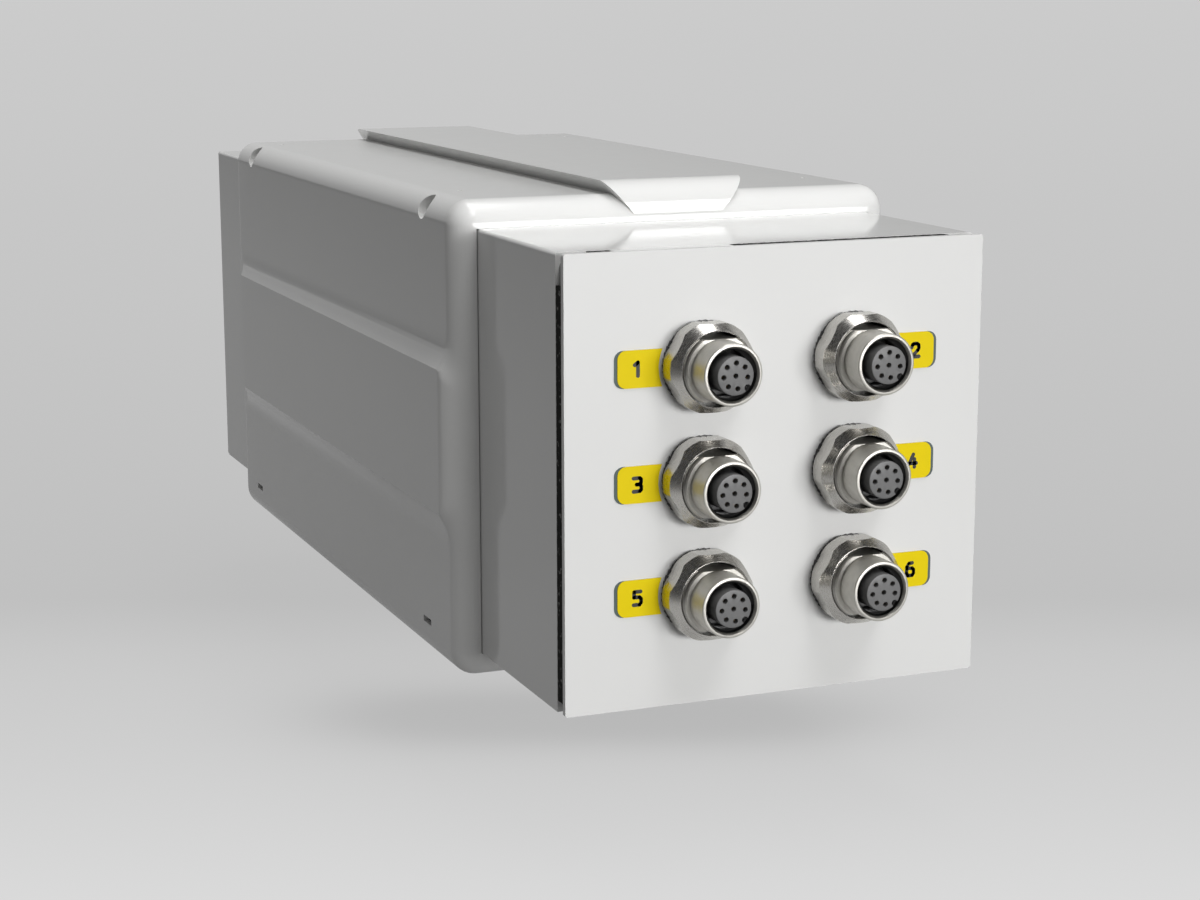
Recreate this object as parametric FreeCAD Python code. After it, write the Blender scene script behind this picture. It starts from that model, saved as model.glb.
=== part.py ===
import FreeCAD, Part
import math
import os
from FreeCAD import Vector

# Drive unit of a laboratory agitator: a long square sheet-metal box with six round
# sockets on its front plate, held in a moulded sleeve that hangs from a dovetail rail.
# Millimetres. X runs to the right, Y from the front plate to the rear panel, Z up.
# The origin lies under the middle of the whole unit, on the sleeve's underside.

# Box and its end plates
box_side = 100.0
box_length = 303.8
sheet = 1.2
sheet_bend = 0.8
plate_thickness = 1.5
plate_corner = 0.6
front_gap = 3.2
slip = 0.1
seat_gap = 0.2
overcut = 1.0
nearly_zero = 0.01
width_axis = Vector(1, 0, 0)
depth_axis = Vector(0, 1, 0)

# Sleeve
sleeve_front_set_back = 49.3
sleeve_length = 209.5
side_wall = 6.0
top_wall = 6.4
sleeve_round = 6.0
relief_depth = 2.4
relief_margin = 36.0
relief_rib = 5.0
relief_count = 3

# Rail on top of the sleeve
rail_top_width = 35.8
rail_height = 3.2
rail_undercut = 0.85
rail_root = 4.5

# Raised panels on the sleeve's sides
panel_rise = 2.3
panel_flat = 34.4
panel_run = 8.0
panel_front_round = 4.4
panel_rear_set_back = 14.5

# Latch pockets, dimples and windows of the sleeve
pocket_radius = 3.3
pocket_depth = 3.2
pocket_tilt = 33.0
pocket_front_set_back = 23.2
pocket_rear_set_back = 21.2
dimple_radius = 0.65
dimple_depth = 0.8
dimple_inset = 10.5
dimple_shift = 2.2
window_length = 5.8
window_height = 1.5
window_above_box_floor = 2.7
lug_proud = 1.2

# Round sockets
socket_pitch_x = 36.0
socket_pitch_z = 25.0
socket_columns = 2
socket_rows = 3
rim_reach = 15.3
insert_reach = 16.3
sleeve_radius = 6.7
rim_bevel = 0.45
thread_radius = 8.0
thread_reach = 8.6
thread_bevel = 1.0
flat_half = 6.6
bore_radius = 5.6
mouth_bevel = 0.45
flange_radius = 9.8
flange_thickness = 2.5
gasket_thickness = 1.0
tail_radius = 7.4
tail_length = 7.0
nut_width = 19.0
nut_round = 10.0
nut_thickness = 6.4
nut_cone_rise = 2.6
washer_thickness = 1.0
washer_radius = 10.3
washer_tooth = 0.5
washer_teeth = 16
running = 0.05
insert_radius = 4.15
ring_reach = 7.0
ring_length = 5.0
key_radius = 0.75
key_depth = 6.0
key_angle = -44.0
contact_count = 7
contact_circle = 2.75
contact_radius = 0.42
contact_hole = 0.46
contact_recess = 0.9
contact_tail = 2.0
contact_step_angle = 48.0

# Number labels
label_outer = 38.7
label_height = 8.6
label_round = 1.5
label_thickness = 0.3

# End frames
frame_bar = 4.0
frame_depth = 10.0
frame_block = 9.0
frame_corner = 3.0
gap_inset = 0.8
seal_width = 2.6
seal_inset = 0.5
seal_end = 7.0
tab_inset = 11.5
tab_width = 28.5
stud_radius = 1.5
stud_proud = 1.0
stud_inset = 6.0
small_nut_width = 5.5
small_nut_thickness = 2.4
screw_head_radius = 2.8
screw_head_height = 1.8
screw_head_bevel = 0.5
screw_length = 8.0

# Tray flanges and its screws
flange_height = 10.0
flange_end_clear = 14.0
tray_screw_x = 30.0
tray_screw_inset = 6.0
tray_screw_head = 2.6

# Fan behind the rear panel
fan_depth = 15.0
fan_head_room = 6.6
fan_inlet_gap = 0.4
fan_rim = 1.6
fan_corner = 4.0
fan_hole_inset = 5.0
fan_hole = 2.15
fan_base_radius = 12.0
fan_base_thickness = 3.0
fan_strut = 2.4
fan_struts = 4
fan_strut_turn = 20.0
fan_running = 0.5
fan_screw_short = 2.0
hub_radius = 12.4
hub_depth = 9.0
hub_shaft_radius = 1.5
hub_round = 1.0
blade_count = 7
blade_tip_gap = 0.8
blade_root_sink = 1.5
blade_thickness = 1.1
blade_root_angle = 48.0
blade_tip_angle = 32.0
grille_rings = 4
grille_first = 6.5
grille_edge = 2.3
grille_web = 2.0

# Mains inlet
inlet_margin = 10.0
inlet_lift = 21.8
inlet_flange_width = 31.0
inlet_flange_height = 22.4
inlet_flange_thickness = 4.0
inlet_body_width = 27.0
inlet_body_height = 20.0
inlet_depth = 21.0
inlet_cavity_width = 24.4
inlet_cavity_height = 16.4
inlet_cavity_depth = 17.0
inlet_cavity_cut = 4.0
inlet_corner = 2.4
inlet_latch_proud = 1.1
inlet_latch_length = 6.0
inlet_latch_height = 8.0
pin_width = 2.0
pin_height = 4.0
pin_length = 15.0
pin_spread = 7.0
pin_offset = 2.0
pin_tail = 3.0

# Power switch
switch_gap = 4.5
switch_bezel_width = 15.0
switch_bezel_height = 21.0
switch_bezel_thickness = 1.6
switch_body_width = 13.0
switch_body_height = 19.0
switch_depth = 14.0
rocker_width = 9.8
rocker_radius = 8.2
rocker_clear = 0.35
rocker_face = 3.6
rocker_valley = 2.6
rocker_back = 2.4
rocker_pivot_depth = 2.4
rocker_tilt = 7.0
rocker_pin_radius = 1.0
rocker_pin_length = 0.8
switch_cavity_depth = 7.0

# Data socket
jack_gap = 4.5
jack_width = 16.0
jack_height = 13.6
jack_depth = 16.0
jack_flange = 1.0
jack_flange_thickness = 1.2
jack_mouth_width = 11.8
jack_mouth_height = 7.0
jack_mouth_depth = 12.5
jack_key_width = 6.2
jack_key_height = 2.2
jack_mouth_lift = 0.8

# Boards inside
board_width = 84.0
board_thickness = 1.6
board_front_clear = 28.0
board_supply_gap = 7.8
standoff_radius = 2.5
standoff_height = 8.0
standoff_inset = 5.0
driver_count = 6
driver_front = 18.0
driver_rear = 22.0
driver_width = 40.0
driver_height = 30.0
driver_sink_width = 30.0
driver_sink_height = 18.0
driver_sink_thickness = 6.0
driver_fin = 1.2
driver_fins = 4
driver_sink_inset = 2.0
supply_width = 62.0
supply_length = 100.0
supply_height = 34.0
supply_rear_clear = 38.0
supply_wall = 1.2
supply_slot = 2.0
supply_slots = 6
supply_slot_width = 31.0
core_width = 31.0
core_length = 25.0
core_height = 17.0
can_radius = 7.75
can_height = 23.8
can_spread = 15.5
can_clear = 25.0

# Places that follow from the sizes above
rear_reach = inlet_flange_thickness
whole_length = insert_reach + plate_thickness + front_gap + box_length + plate_thickness + rear_reach
plate_front = insert_reach - whole_length / 2
plate_back = plate_front + plate_thickness
box_front = plate_back + front_gap
box_rear = box_front + box_length
panel_back = box_rear + plate_thickness
box_floor = top_wall
box_middle = box_floor + box_side / 2
box_top = box_floor + box_side
inner_half = box_side / 2 - sheet
sleeve_front = box_front + sleeve_front_set_back
sleeve_rear = sleeve_front + sleeve_length
sleeve_width = box_side + 2 * side_wall
sleeve_height = box_side + 2 * top_wall
rail_top = sleeve_height + rail_height
rail_half = rail_top_width / 2
pocket_places = (sleeve_front + pocket_front_set_back, sleeve_rear - pocket_rear_set_back)
stud_half = box_side / 2 - stud_inset - sheet
tab_left = tab_inset - box_side / 2
tab_right = tab_left + tab_width
inlet_x = inlet_margin + inlet_flange_width / 2 - box_side / 2
switch_x = inlet_x + inlet_flange_width / 2 + switch_gap + switch_bezel_width / 2
jack_x = switch_x + switch_bezel_width / 2 + jack_gap + jack_flange + jack_width / 2
fan_foot = box_floor + inlet_lift + inlet_flange_height / 2 + fan_inlet_gap
fan_side = box_top - fan_head_room - fan_foot
fan_middle = fan_foot + fan_side / 2
fan_bore = fan_side / 2 - fan_rim
fan_pitch = fan_side - 2 * fan_hole_inset
grille_reach = fan_bore - grille_edge
grille_slot = (grille_reach - grille_first + grille_web) / grille_rings - grille_web
tray_top = box_floor + sheet
board_front = box_front + board_front_clear
board_under = tray_top + standoff_height
board_top = board_under + board_thickness
supply_rear = box_rear - supply_rear_clear
supply_front = supply_rear - supply_length
board_length = supply_front - board_supply_gap - board_front
driver_pitch = (board_length - driver_front - driver_rear) / (driver_count - 1)


def block(x0, x1, y0, y1, z0, z1):
    return Part.makeBox(x1 - x0, y1 - y0, z1 - z0, Vector(x0, y0, z0))


def rod(radius, x, y0, y1, z):
    return Part.makeCylinder(radius, y1 - y0, Vector(x, y0, z), Vector(0, 1, 0))


def post(radius, x, y, z0, z1):
    return Part.makeCylinder(radius, z1 - z0, Vector(x, y, z0), Vector(0, 0, 1))


def mirrored(shape):
    return shape.mirror(Vector(0, 0, 0), Vector(1, 0, 0))


def both_sides(shape):
    return [shape, mirrored(shape)]


def along(edges, axis):
    """The straight edges that run along an axis."""
    return [e for e in edges if e.tangentAt(e.FirstParameter).cross(axis).Length < nearly_zero]


def on_face(shape, place):
    """The edges whose ends all lie on a face: place gives a point's distance from it."""
    return [edge for edge in shape.Edges if all(abs(place(v.Point)) < nearly_zero for v in edge.Vertexes)]


def outline(points, direction):
    """A closed outline of straight edges, pushed along a direction."""
    return Part.Face(Part.makePolygon(points + points[:1])).extrude(direction)


def turned(points):
    """A solid turned about the Y axis from an outline of (radius, y) points."""
    corners = [Vector(radius, y, 0) for radius, y in points]
    face = Part.Face(Part.makePolygon(corners + corners[:1]))
    return face.revolve(Vector(0, 0, 0), Vector(0, 1, 0), 360)


def hexagon(width, x, y0, y1, z):
    radius = width / 2 / math.cos(math.radians(30))
    corners = [
        Vector(x + radius * math.cos(math.radians(a)), y0, z + radius * math.sin(math.radians(a)))
        for a in range(0, 360, 60)
    ]
    return outline(corners, Vector(0, y1 - y0, 0))


def rounded_plate(half_x, half_z, y0, y1, z, radius):
    plate = block(-half_x, half_x, y0, y1, z - half_z, z + half_z)
    return plate.makeFillet(radius, along(plate.Edges, depth_axis))


def corner_places(half):
    return [(x, box_middle + z) for x in (-half, half) for z in (-half, half)]


def socket_places():
    for row in range(socket_rows):
        for column in range(socket_columns):
            x = (column - (socket_columns - 1) / 2) * socket_pitch_x
            z = box_middle + ((socket_rows - 1) / 2 - row) * socket_pitch_z
            yield row * socket_columns + column + 1, x, z


# Sleeve

def panel_blend(wall, edge, along, sign):
    """The hollow arc that runs from the wall up to the edge of the raised panel."""
    radius = (panel_run**2 + panel_rise**2) / (2 * panel_rise)
    half_angle = math.asin(panel_run / radius) / 2
    middle_out = radius * (1 - math.cos(half_angle))
    middle_along = along + sign * (panel_run - radius * math.sin(half_angle))
    return (wall + middle_out, middle_along)


def raised_panel():
    wall = sleeve_width / 2
    face = wall + panel_rise
    inner = box_side / 2 - side_wall
    high = box_middle + panel_flat / 2
    low = box_middle - panel_flat / 2
    y0 = sleeve_front
    rear_edge = sleeve_rear - panel_rear_set_back
    front_edge = sleeve_front + panel_front_round

    top_mid = panel_blend(wall, face, high, 1)
    low_mid = panel_blend(wall, face, low, -1)
    section = Part.Wire([
        Part.makeLine(Vector(inner, y0, low - panel_run), Vector(wall, y0, low - panel_run)),
        Part.Arc(
            Vector(wall, y0, low - panel_run),
            Vector(low_mid[0], y0, low_mid[1]),
            Vector(face, y0, low),
        ).toShape(),
        Part.makeLine(Vector(face, y0, low), Vector(face, y0, high)),
        Part.Arc(
            Vector(face, y0, high),
            Vector(top_mid[0], y0, top_mid[1]),
            Vector(wall, y0, high + panel_run),
        ).toShape(),
        Part.makeLine(Vector(wall, y0, high + panel_run), Vector(inner, y0, high + panel_run)),
        Part.makeLine(Vector(inner, y0, high + panel_run), Vector(inner, y0, low - panel_run)),
    ])
    along_y = Part.Face(section).extrude(Vector(0, sleeve_length, 0))

    rear_mid = panel_blend(wall, face, rear_edge, 1)
    z0 = low - panel_run
    diagonal = panel_front_round * (1 - math.sqrt(0.5))
    plan = Part.Wire([
        Part.makeLine(Vector(inner, y0, z0), Vector(face - panel_front_round, y0, z0)),
        Part.Arc(
            Vector(face - panel_front_round, y0, z0),
            Vector(face - diagonal, y0 + diagonal, z0),
            Vector(face, front_edge, z0),
        ).toShape(),
        Part.makeLine(Vector(face, front_edge, z0), Vector(face, rear_edge, z0)),
        Part.Arc(
            Vector(face, rear_edge, z0),
            Vector(rear_mid[0], rear_mid[1], z0),
            Vector(wall, rear_edge + panel_run, z0),
        ).toShape(),
        Part.makeLine(Vector(wall, rear_edge + panel_run, z0), Vector(inner, rear_edge + panel_run, z0)),
        Part.makeLine(Vector(inner, rear_edge + panel_run, z0), Vector(inner, y0, z0)),
    ])
    along_z = Part.Face(plan).extrude(Vector(0, 0, panel_flat + 2 * panel_run))
    return along_y.common(along_z)


def rail():
    """The dovetail rail, whose ends are rounded like the sleeve's own edges."""
    depth = rail_height + rail_root
    root_half = rail_half - depth * rail_undercut
    section = [
        Vector(-rail_half, sleeve_front, rail_top),
        Vector(rail_half, sleeve_front, rail_top),
        Vector(root_half, sleeve_front, rail_top - depth),
        Vector(-root_half, sleeve_front, rail_top - depth),
    ]
    body = outline(section, Vector(0, sleeve_length, 0))
    top = on_face(body, lambda p: p.z - rail_top)
    return body.makeFillet(sleeve_round, along(top, width_axis))


def latch_pocket(y):
    """A round pocket let into the long top rounding, square to it."""
    tilt = math.radians(pocket_tilt)
    outward = Vector(math.cos(tilt), 0, math.sin(tilt))
    heart = Vector(sleeve_width / 2 - sleeve_round, y, sleeve_height - sleeve_round)
    base = heart + outward * (sleeve_round - pocket_depth)
    return Part.makeCylinder(pocket_radius, 2 * pocket_depth, base, outward)


def sleeve():
    half = sleeve_width / 2
    shell = block(-half, half, sleeve_front, sleeve_rear, 0, sleeve_height)
    shell = shell.makeFillet(sleeve_round, shell.Edges)
    shell = shell.fuse(both_sides(raised_panel()) + [rail()])

    cuts = []
    for y in pocket_places:
        cuts += both_sides(latch_pocket(y))
        cuts += both_sides(
            post(
                dimple_radius, half - dimple_inset, y + dimple_shift,
                sleeve_height - dimple_depth, rail_top,
            )
        )
        window_low = box_floor + window_above_box_floor - window_height / 2
        cuts += both_sides(
            block(
                box_side / 2 - overcut, half + overcut,
                y - window_length / 2, y + window_length / 2,
                window_low, window_low + window_height,
            )
        )

    bore = box_side / 2 + seat_gap
    cuts.append(
        block(
            -bore, bore, sleeve_front - overcut, sleeve_rear + overcut,
            box_middle - bore, box_middle + bore,
        )
    )
    relief = bore + relief_depth
    room = sleeve_length - 2 * relief_margin
    pitch = (room + relief_rib) / relief_count
    for index in range(relief_count):
        y0 = sleeve_front + relief_margin + index * pitch
        cuts.append(
            block(-relief, relief, y0, y0 + pitch - relief_rib, box_middle - relief, box_middle + relief)
        )
    return shell.cut(cuts).removeSplitter()


def latch_lugs():
    """Four tongues on the box that stand in the sleeve's windows and hold it in place."""
    lugs = []
    z = box_floor + window_above_box_floor
    half_length = window_length / 2 - seat_gap
    half_height = window_height / 2 - seat_gap
    for y in pocket_places:
        lug = block(
            box_side / 2, sleeve_width / 2 - lug_proud,
            y - half_length, y + half_length,
            z - half_height, z + half_height,
        )
        lugs += both_sides(lug)
    return Part.makeCompound(lugs)


# Sheet-metal box

def top_cover():
    half = box_side / 2
    cover = block(-half, half, box_front, box_rear, box_floor, box_top)
    top = on_face(cover, lambda p: p.z - box_top)
    cover = cover.makeFillet(sheet_bend, along(top, depth_axis))
    room = block(
        -inner_half, inner_half, box_front - overcut, box_rear + overcut,
        box_floor - overcut, box_top - sheet,
    )
    return cover.cut(room)


def tray_screw_places():
    for y in (box_front + tray_screw_inset, box_rear - tray_screw_inset):
        for x in (-tray_screw_x, tray_screw_x):
            yield x, y


def base_tray():
    half = inner_half - slip
    tray = block(-half, half, box_front, box_rear, box_floor, tray_top)
    lip = block(
        half - sheet, half,
        box_front + flange_end_clear, box_rear - flange_end_clear,
        tray_top, tray_top + flange_height,
    )
    tray = tray.fuse(both_sides(lip))
    for x, y in tray_screw_places():
        tray = tray.cut(
            Part.makeCone(tray_screw_head, stud_radius + slip, sheet, Vector(x, y, box_floor))
        )
    return tray.removeSplitter()


def base_screws():
    screws = []
    for x, y in tray_screw_places():
        head = Part.makeCone(tray_screw_head - running, stud_radius, sheet, Vector(x, y, box_floor))
        shank = post(stud_radius, x, y, box_floor + sheet, tray_top + frame_bar)
        screws.append(head.fuse(shank).removeSplitter())
    return Part.makeCompound(screws)


def end_frame(y0, y1):
    """The ring inside an end of the box, with a block in each corner for a fastener."""
    half = inner_half - seat_gap
    low = tray_top + slip
    high = box_top - sheet - seat_gap
    middle = (low + high) / 2
    ring = block(-half, half, y0, y1, low, high)
    room = block(
        -half + frame_bar, half - frame_bar, y0 - overcut, y1 + overcut, low + frame_bar, high - frame_bar
    )
    ring = ring.cut(room)
    blocks = []
    for x in (-1, 1):
        for z in (-1, 1):
            inner_x = half - frame_block
            inner_z = (high - low) / 2 - frame_block
            xs = sorted((x * inner_x, x * half))
            zs = sorted((middle + z * inner_z, middle + z * (high - low) / 2))
            blocks.append(block(xs[0], xs[1], y0, y1, zs[0], zs[1]))
    ring = ring.fuse(blocks)
    holes = [rod(stud_radius + slip, x, y0 - overcut, y1 + overcut, z) for x, z in corner_places(stud_half)]
    for x, y in tray_screw_places():
        holes.append(post(stud_radius + slip, x, y, low - overcut, low + frame_bar + overcut))
    return ring.cut(holes).removeSplitter()


def seal_beds(inset):
    """The rebates round the front frame that hold the seal strips."""
    half = box_side / 2 - gap_inset
    deep = half - seal_width
    run = half - seal_end
    beds = []
    for side in (-1, 1):
        xs = sorted((side * deep, side * (half - inset)))
        beds.append(block(xs[0], xs[1], plate_back, box_front, box_middle - run, box_middle + run))
    under = (box_middle - half + inset, box_middle - deep)
    above = (box_middle + deep, box_middle + half - inset)
    beds.append(block(-run, run, plate_back, box_front, under[0], under[1]))
    beds.append(block(tab_right, run, plate_back, box_front, above[0], above[1]))
    beds.append(block(-run, tab_left, plate_back, box_front, above[0], above[1]))
    return beds


def front_frame():
    half = box_side / 2 - gap_inset
    flange = rounded_plate(half, half, plate_back, box_front, box_middle, frame_corner)
    opening = inner_half - seat_gap - frame_block
    flange = flange.cut(
        block(
            -opening, opening, plate_back - overcut, box_front + overcut,
            box_middle - opening, box_middle + opening,
        )
    )
    flange = flange.cut(seal_beds(0))
    holes = [
        rod(stud_radius + slip, x, plate_back - overcut, box_front + overcut, z)
        for x, z in corner_places(stud_half)
    ]
    spigot = end_frame(box_front, box_front + frame_depth)
    return flange.cut(holes).fuse(spigot).removeSplitter()


def front_seal():
    return Part.makeCompound(seal_beds(seal_inset))


def rear_frame():
    return end_frame(box_rear - frame_depth, box_rear)


# Front plate and its sockets

def front_plate():
    half = box_side / 2
    plate = rounded_plate(half, half, plate_front, plate_back, box_middle, plate_corner)
    for _, x, z in socket_places():
        hole = rod(thread_radius + slip, x, plate_front - overcut, plate_back + overcut, z)
        flat = flat_half + slip
        hole = hole.common(
            block(
                x - thread_radius - overcut, x + thread_radius + overcut,
                plate_front - overcut, plate_back + overcut,
                z - flat, z + flat,
            )
        )
        plate = plate.cut(hole)
    return plate


def plate_studs():
    """The studs welded to the plate's back, which the small nuts pull against the frame."""
    end = box_front + frame_depth + small_nut_thickness + stud_proud
    return Part.makeCompound(
        [rod(stud_radius, x, plate_back, end, z) for x, z in corner_places(stud_half)]
    )


def stud_nuts():
    nuts = []
    y0 = box_front + frame_depth
    y1 = y0 + small_nut_thickness
    for x, z in corner_places(stud_half):
        nut = hexagon(small_nut_width, x, y0, y1, z)
        nuts.append(nut.cut(rod(stud_radius + running, x, y0 - overcut, y1 + overcut, z)))
    return Part.makeCompound(nuts)


def socket_shell():
    seat = plate_thickness + gasket_thickness
    flange_end = seat + flange_thickness
    tail_end = flange_end + tail_length
    shell = turned([
        (bore_radius + mouth_bevel, -rim_reach),
        (sleeve_radius - rim_bevel, -rim_reach),
        (sleeve_radius, -rim_reach + rim_bevel),
        (sleeve_radius, -thread_reach),
        (thread_radius, -thread_reach + thread_bevel),
        (thread_radius, seat),
        (flange_radius, seat),
        (flange_radius, flange_end),
        (tail_radius, flange_end),
        (tail_radius, tail_end),
        (bore_radius, tail_end),
        (bore_radius, -rim_reach + mouth_bevel),
    ])
    wide = thread_radius + overcut
    upper = block(-wide, wide, -thread_reach, seat, flat_half, wide)
    lower = block(-wide, wide, -thread_reach, seat, -wide, -flat_half)
    return shell.cut([upper, lower])


def socket_nut():
    rear = -washer_thickness
    front = rear - nut_thickness
    hole = thread_radius + running
    ring = turned([
        (hole, rear),
        (nut_round - rim_bevel, rear),
        (nut_round, rear - rim_bevel),
        (nut_round, front + nut_cone_rise),
        (hole + 2 * rim_bevel, front),
        (hole + rim_bevel, front),
        (hole, front + rim_bevel),
    ])
    return ring.common(hexagon(nut_width, 0, front - overcut, rear + overcut, 0))


def socket_washer():
    points = []
    for index in range(2 * washer_teeth):
        radius = washer_radius - washer_tooth * (index % 2)
        angle = math.pi * index / washer_teeth
        points.append(Vector(radius * math.cos(angle), -washer_thickness, radius * math.sin(angle)))
    disc = outline(points, Vector(0, washer_thickness, 0))
    return disc.cut(rod(thread_radius + running, 0, -washer_thickness - overcut, 1, 0))


def socket_gasket():
    y0 = plate_thickness
    ring = rod(flange_radius - seat_gap, 0, y0, y0 + gasket_thickness, 0)
    return ring.cut(rod(thread_radius + running, 0, y0 - overcut, y0 + gasket_thickness + overcut, 0))


def contact_places():
    places = [(0.0, 0.0)]
    first = key_angle + (360 - (contact_count - 1) * contact_step_angle) / 2
    for index in range(contact_count):
        angle = math.radians(first + index * contact_step_angle)
        places.append((contact_circle * math.cos(angle), contact_circle * math.sin(angle)))
    return places


def insert_tail():
    return plate_thickness + gasket_thickness + flange_thickness + tail_length


def socket_insert():
    """The contact carrier, and the ring that holds it in the middle of the shell's bore."""
    carrier = rod(insert_radius, 0, -insert_reach, insert_tail(), 0)
    ring = rod(bore_radius - running, 0, -ring_reach, -ring_reach + ring_length, 0)
    ring = ring.cut(rod(insert_radius + running, 0, -ring_reach - overcut, insert_tail(), 0))
    holes = [
        rod(contact_hole, x, -insert_reach - overcut, insert_tail() + overcut, z)
        for x, z in contact_places()
    ]
    angle = math.radians(key_angle)
    key_place = insert_radius - key_radius / 2
    holes.append(
        rod(
            key_radius, key_place * math.cos(angle), -insert_reach - overcut,
            -insert_reach + key_depth, key_place * math.sin(angle),
        )
    )
    return Part.makeCompound([carrier.cut(holes), ring])


def socket_contacts():
    front = -insert_reach + contact_recess
    end = insert_tail() + contact_tail
    return Part.makeCompound([rod(contact_radius, x, front, end, z) for x, z in contact_places()])


def at_socket(shape, x, z):
    placed = shape.copy()
    placed.translate(Vector(x, plate_front, z))
    return placed


def number_labels():
    labels = []
    for _, x, z in socket_places():
        side = 1 if x > 0 else -1
        xs = sorted((x, side * label_outer))
        label = block(
            xs[0], xs[1], plate_front - label_thickness, plate_front,
            z - label_height / 2, z + label_height / 2,
        )
        outer = on_face(label, lambda p: abs(p.x) - label_outer)
        label = label.makeFillet(label_round, along(outer, depth_axis))
        washer_room = rod(
            washer_radius + seat_gap, x, plate_front - label_thickness - overcut, plate_front + overcut, z
        )
        labels.append(label.cut(washer_room))
    return Part.makeCompound(labels)


# Rear panel and what it carries

def grille_slots():
    """Rings of curved slots over the fan, parted by four diagonal spokes."""
    y0 = box_rear - overcut
    y1 = panel_back + overcut
    slots = []
    for ring in range(grille_rings):
        inner = grille_first + ring * (grille_slot + grille_web)
        band = rod(inner + grille_slot, 0, y0, y1, fan_middle)
        slots.append(band.cut(rod(inner, 0, y0, y1, fan_middle)))
    bars = []
    reach = 2 * fan_bore
    for angle in (45, -45):
        bar = block(-reach, reach, y0, y1, fan_middle - grille_web, fan_middle + grille_web)
        bar.rotate(Vector(0, 0, fan_middle), Vector(0, 1, 0), angle)
        bars.append(bar)
    return [slot.cut(bars) for slot in slots]


def fan_hole_places():
    half = fan_pitch / 2
    return [(x, fan_middle + z) for x in (-half, half) for z in (-half, half)]


def rear_panel():
    half = box_side / 2
    panel = rounded_plate(half, half, box_rear, panel_back, box_middle, plate_corner)
    z = box_floor + inlet_lift
    cuts = grille_slots()
    for x, width, height in (
        (inlet_x, inlet_body_width, inlet_body_height),
        (switch_x, switch_body_width, switch_body_height),
        (jack_x, jack_width, jack_height),
    ):
        cuts.append(
            block(
                x - width / 2 - slip, x + width / 2 + slip, box_rear - overcut, panel_back + overcut,
                z - height / 2 - slip, z + height / 2 + slip,
            )
        )
    for x, hole_z in corner_places(stud_half):
        cuts.append(rod(stud_radius + slip, x, box_rear - overcut, panel_back + overcut, hole_z))
    for x, hole_z in fan_hole_places():
        cuts.append(rod(fan_hole, x, box_rear - overcut, panel_back + overcut, hole_z))
    return panel.cut(cuts).removeSplitter()


def panel_screw(x, z, seat, length):
    """A low-headed screw that goes in from the rear."""
    top = seat + screw_head_height
    screw = turned([
        (0, seat - length),
        (stud_radius, seat - length),
        (stud_radius, seat),
        (screw_head_radius, seat),
        (screw_head_radius, top - screw_head_bevel),
        (screw_head_radius - screw_head_bevel, top),
        (0, top),
    ])
    screw.translate(Vector(x, 0, z))
    return screw


def rear_screws():
    return Part.makeCompound(
        [panel_screw(x, z, panel_back, screw_length) for x, z in corner_places(stud_half)]
    )


def fan_screws():
    length = plate_thickness + fan_depth - fan_screw_short
    return Part.makeCompound(
        [panel_screw(x, z, panel_back, length) for x, z in fan_hole_places()]
    )


def fan_frame():
    half = fan_side / 2
    y1 = box_rear
    y0 = y1 - fan_depth
    frame = rounded_plate(half, half, y0, y1, fan_middle, fan_corner)
    frame = frame.cut(rod(fan_bore, 0, y0 - overcut, y1 + overcut, fan_middle))
    frame = frame.cut([rod(fan_hole, x, y0 - overcut, y1 + overcut, z) for x, z in fan_hole_places()])
    base = rod(fan_base_radius, 0, y0, y0 + fan_base_thickness, fan_middle)
    struts = []
    for index in range(fan_struts):
        strut = block(
            0, fan_bore + fan_running, y0, y0 + fan_base_thickness,
            fan_middle - fan_strut / 2, fan_middle + fan_strut / 2,
        )
        strut.rotate(Vector(0, 0, fan_middle), Vector(0, 1, 0), fan_strut_turn + index * 360 / fan_struts)
        struts.append(strut)
    shaft_hole = rod(hub_shaft_radius + running, 0, y0 - overcut, y1, fan_middle)
    return frame.fuse([base] + struts).cut(shaft_hole).removeSplitter()


def blade_section(radius, angle, chord):
    """One end of a blade: a slanted strip across the air stream at a radius."""
    lean = math.radians(angle)
    along = Vector(0, math.cos(lean), math.sin(lean)) * (chord / 2)
    thick = Vector(0, -math.sin(lean), math.cos(lean)) * (blade_thickness / 2)
    heart = Vector(radius, 0, 0)
    corners = [heart - along - thick, heart + along - thick, heart + along + thick, heart - along + thick]
    return Part.makePolygon(corners + corners[:1])


def fan_rotor():
    y0 = box_rear - fan_depth + fan_base_thickness + fan_running
    middle = y0 + hub_depth / 2
    hub = rod(hub_radius, 0, y0, y0 + hub_depth, fan_middle)
    hub = hub.makeFillet(hub_round, on_face(hub, lambda p: p.y - y0 - hub_depth))
    shaft = rod(hub_shaft_radius, 0, box_rear - fan_depth + fan_running, y0, fan_middle)
    tip = fan_bore - blade_tip_gap
    chord = hub_depth / math.cos(math.radians(blade_root_angle)) - 2 * blade_thickness
    root_ring = blade_section(hub_radius - blade_root_sink, blade_root_angle, chord)
    tip_ring = blade_section(tip + overcut, 90 - blade_tip_angle, chord)
    blade = Part.makeLoft([root_ring, tip_ring], True, True)
    band = rod(tip, 0, middle - hub_depth / 2, middle + hub_depth / 2, 0)
    blade.translate(Vector(0, middle, 0))
    blade = blade.common(band)
    blades = []
    for index in range(blade_count):
        turned_blade = blade.copy()
        turned_blade.rotate(Vector(0, 0, 0), Vector(0, 1, 0), index * 360 / blade_count)
        turned_blade.translate(Vector(0, 0, fan_middle))
        blades.append(turned_blade)
    return hub.fuse([shaft] + blades).removeSplitter()


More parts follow.
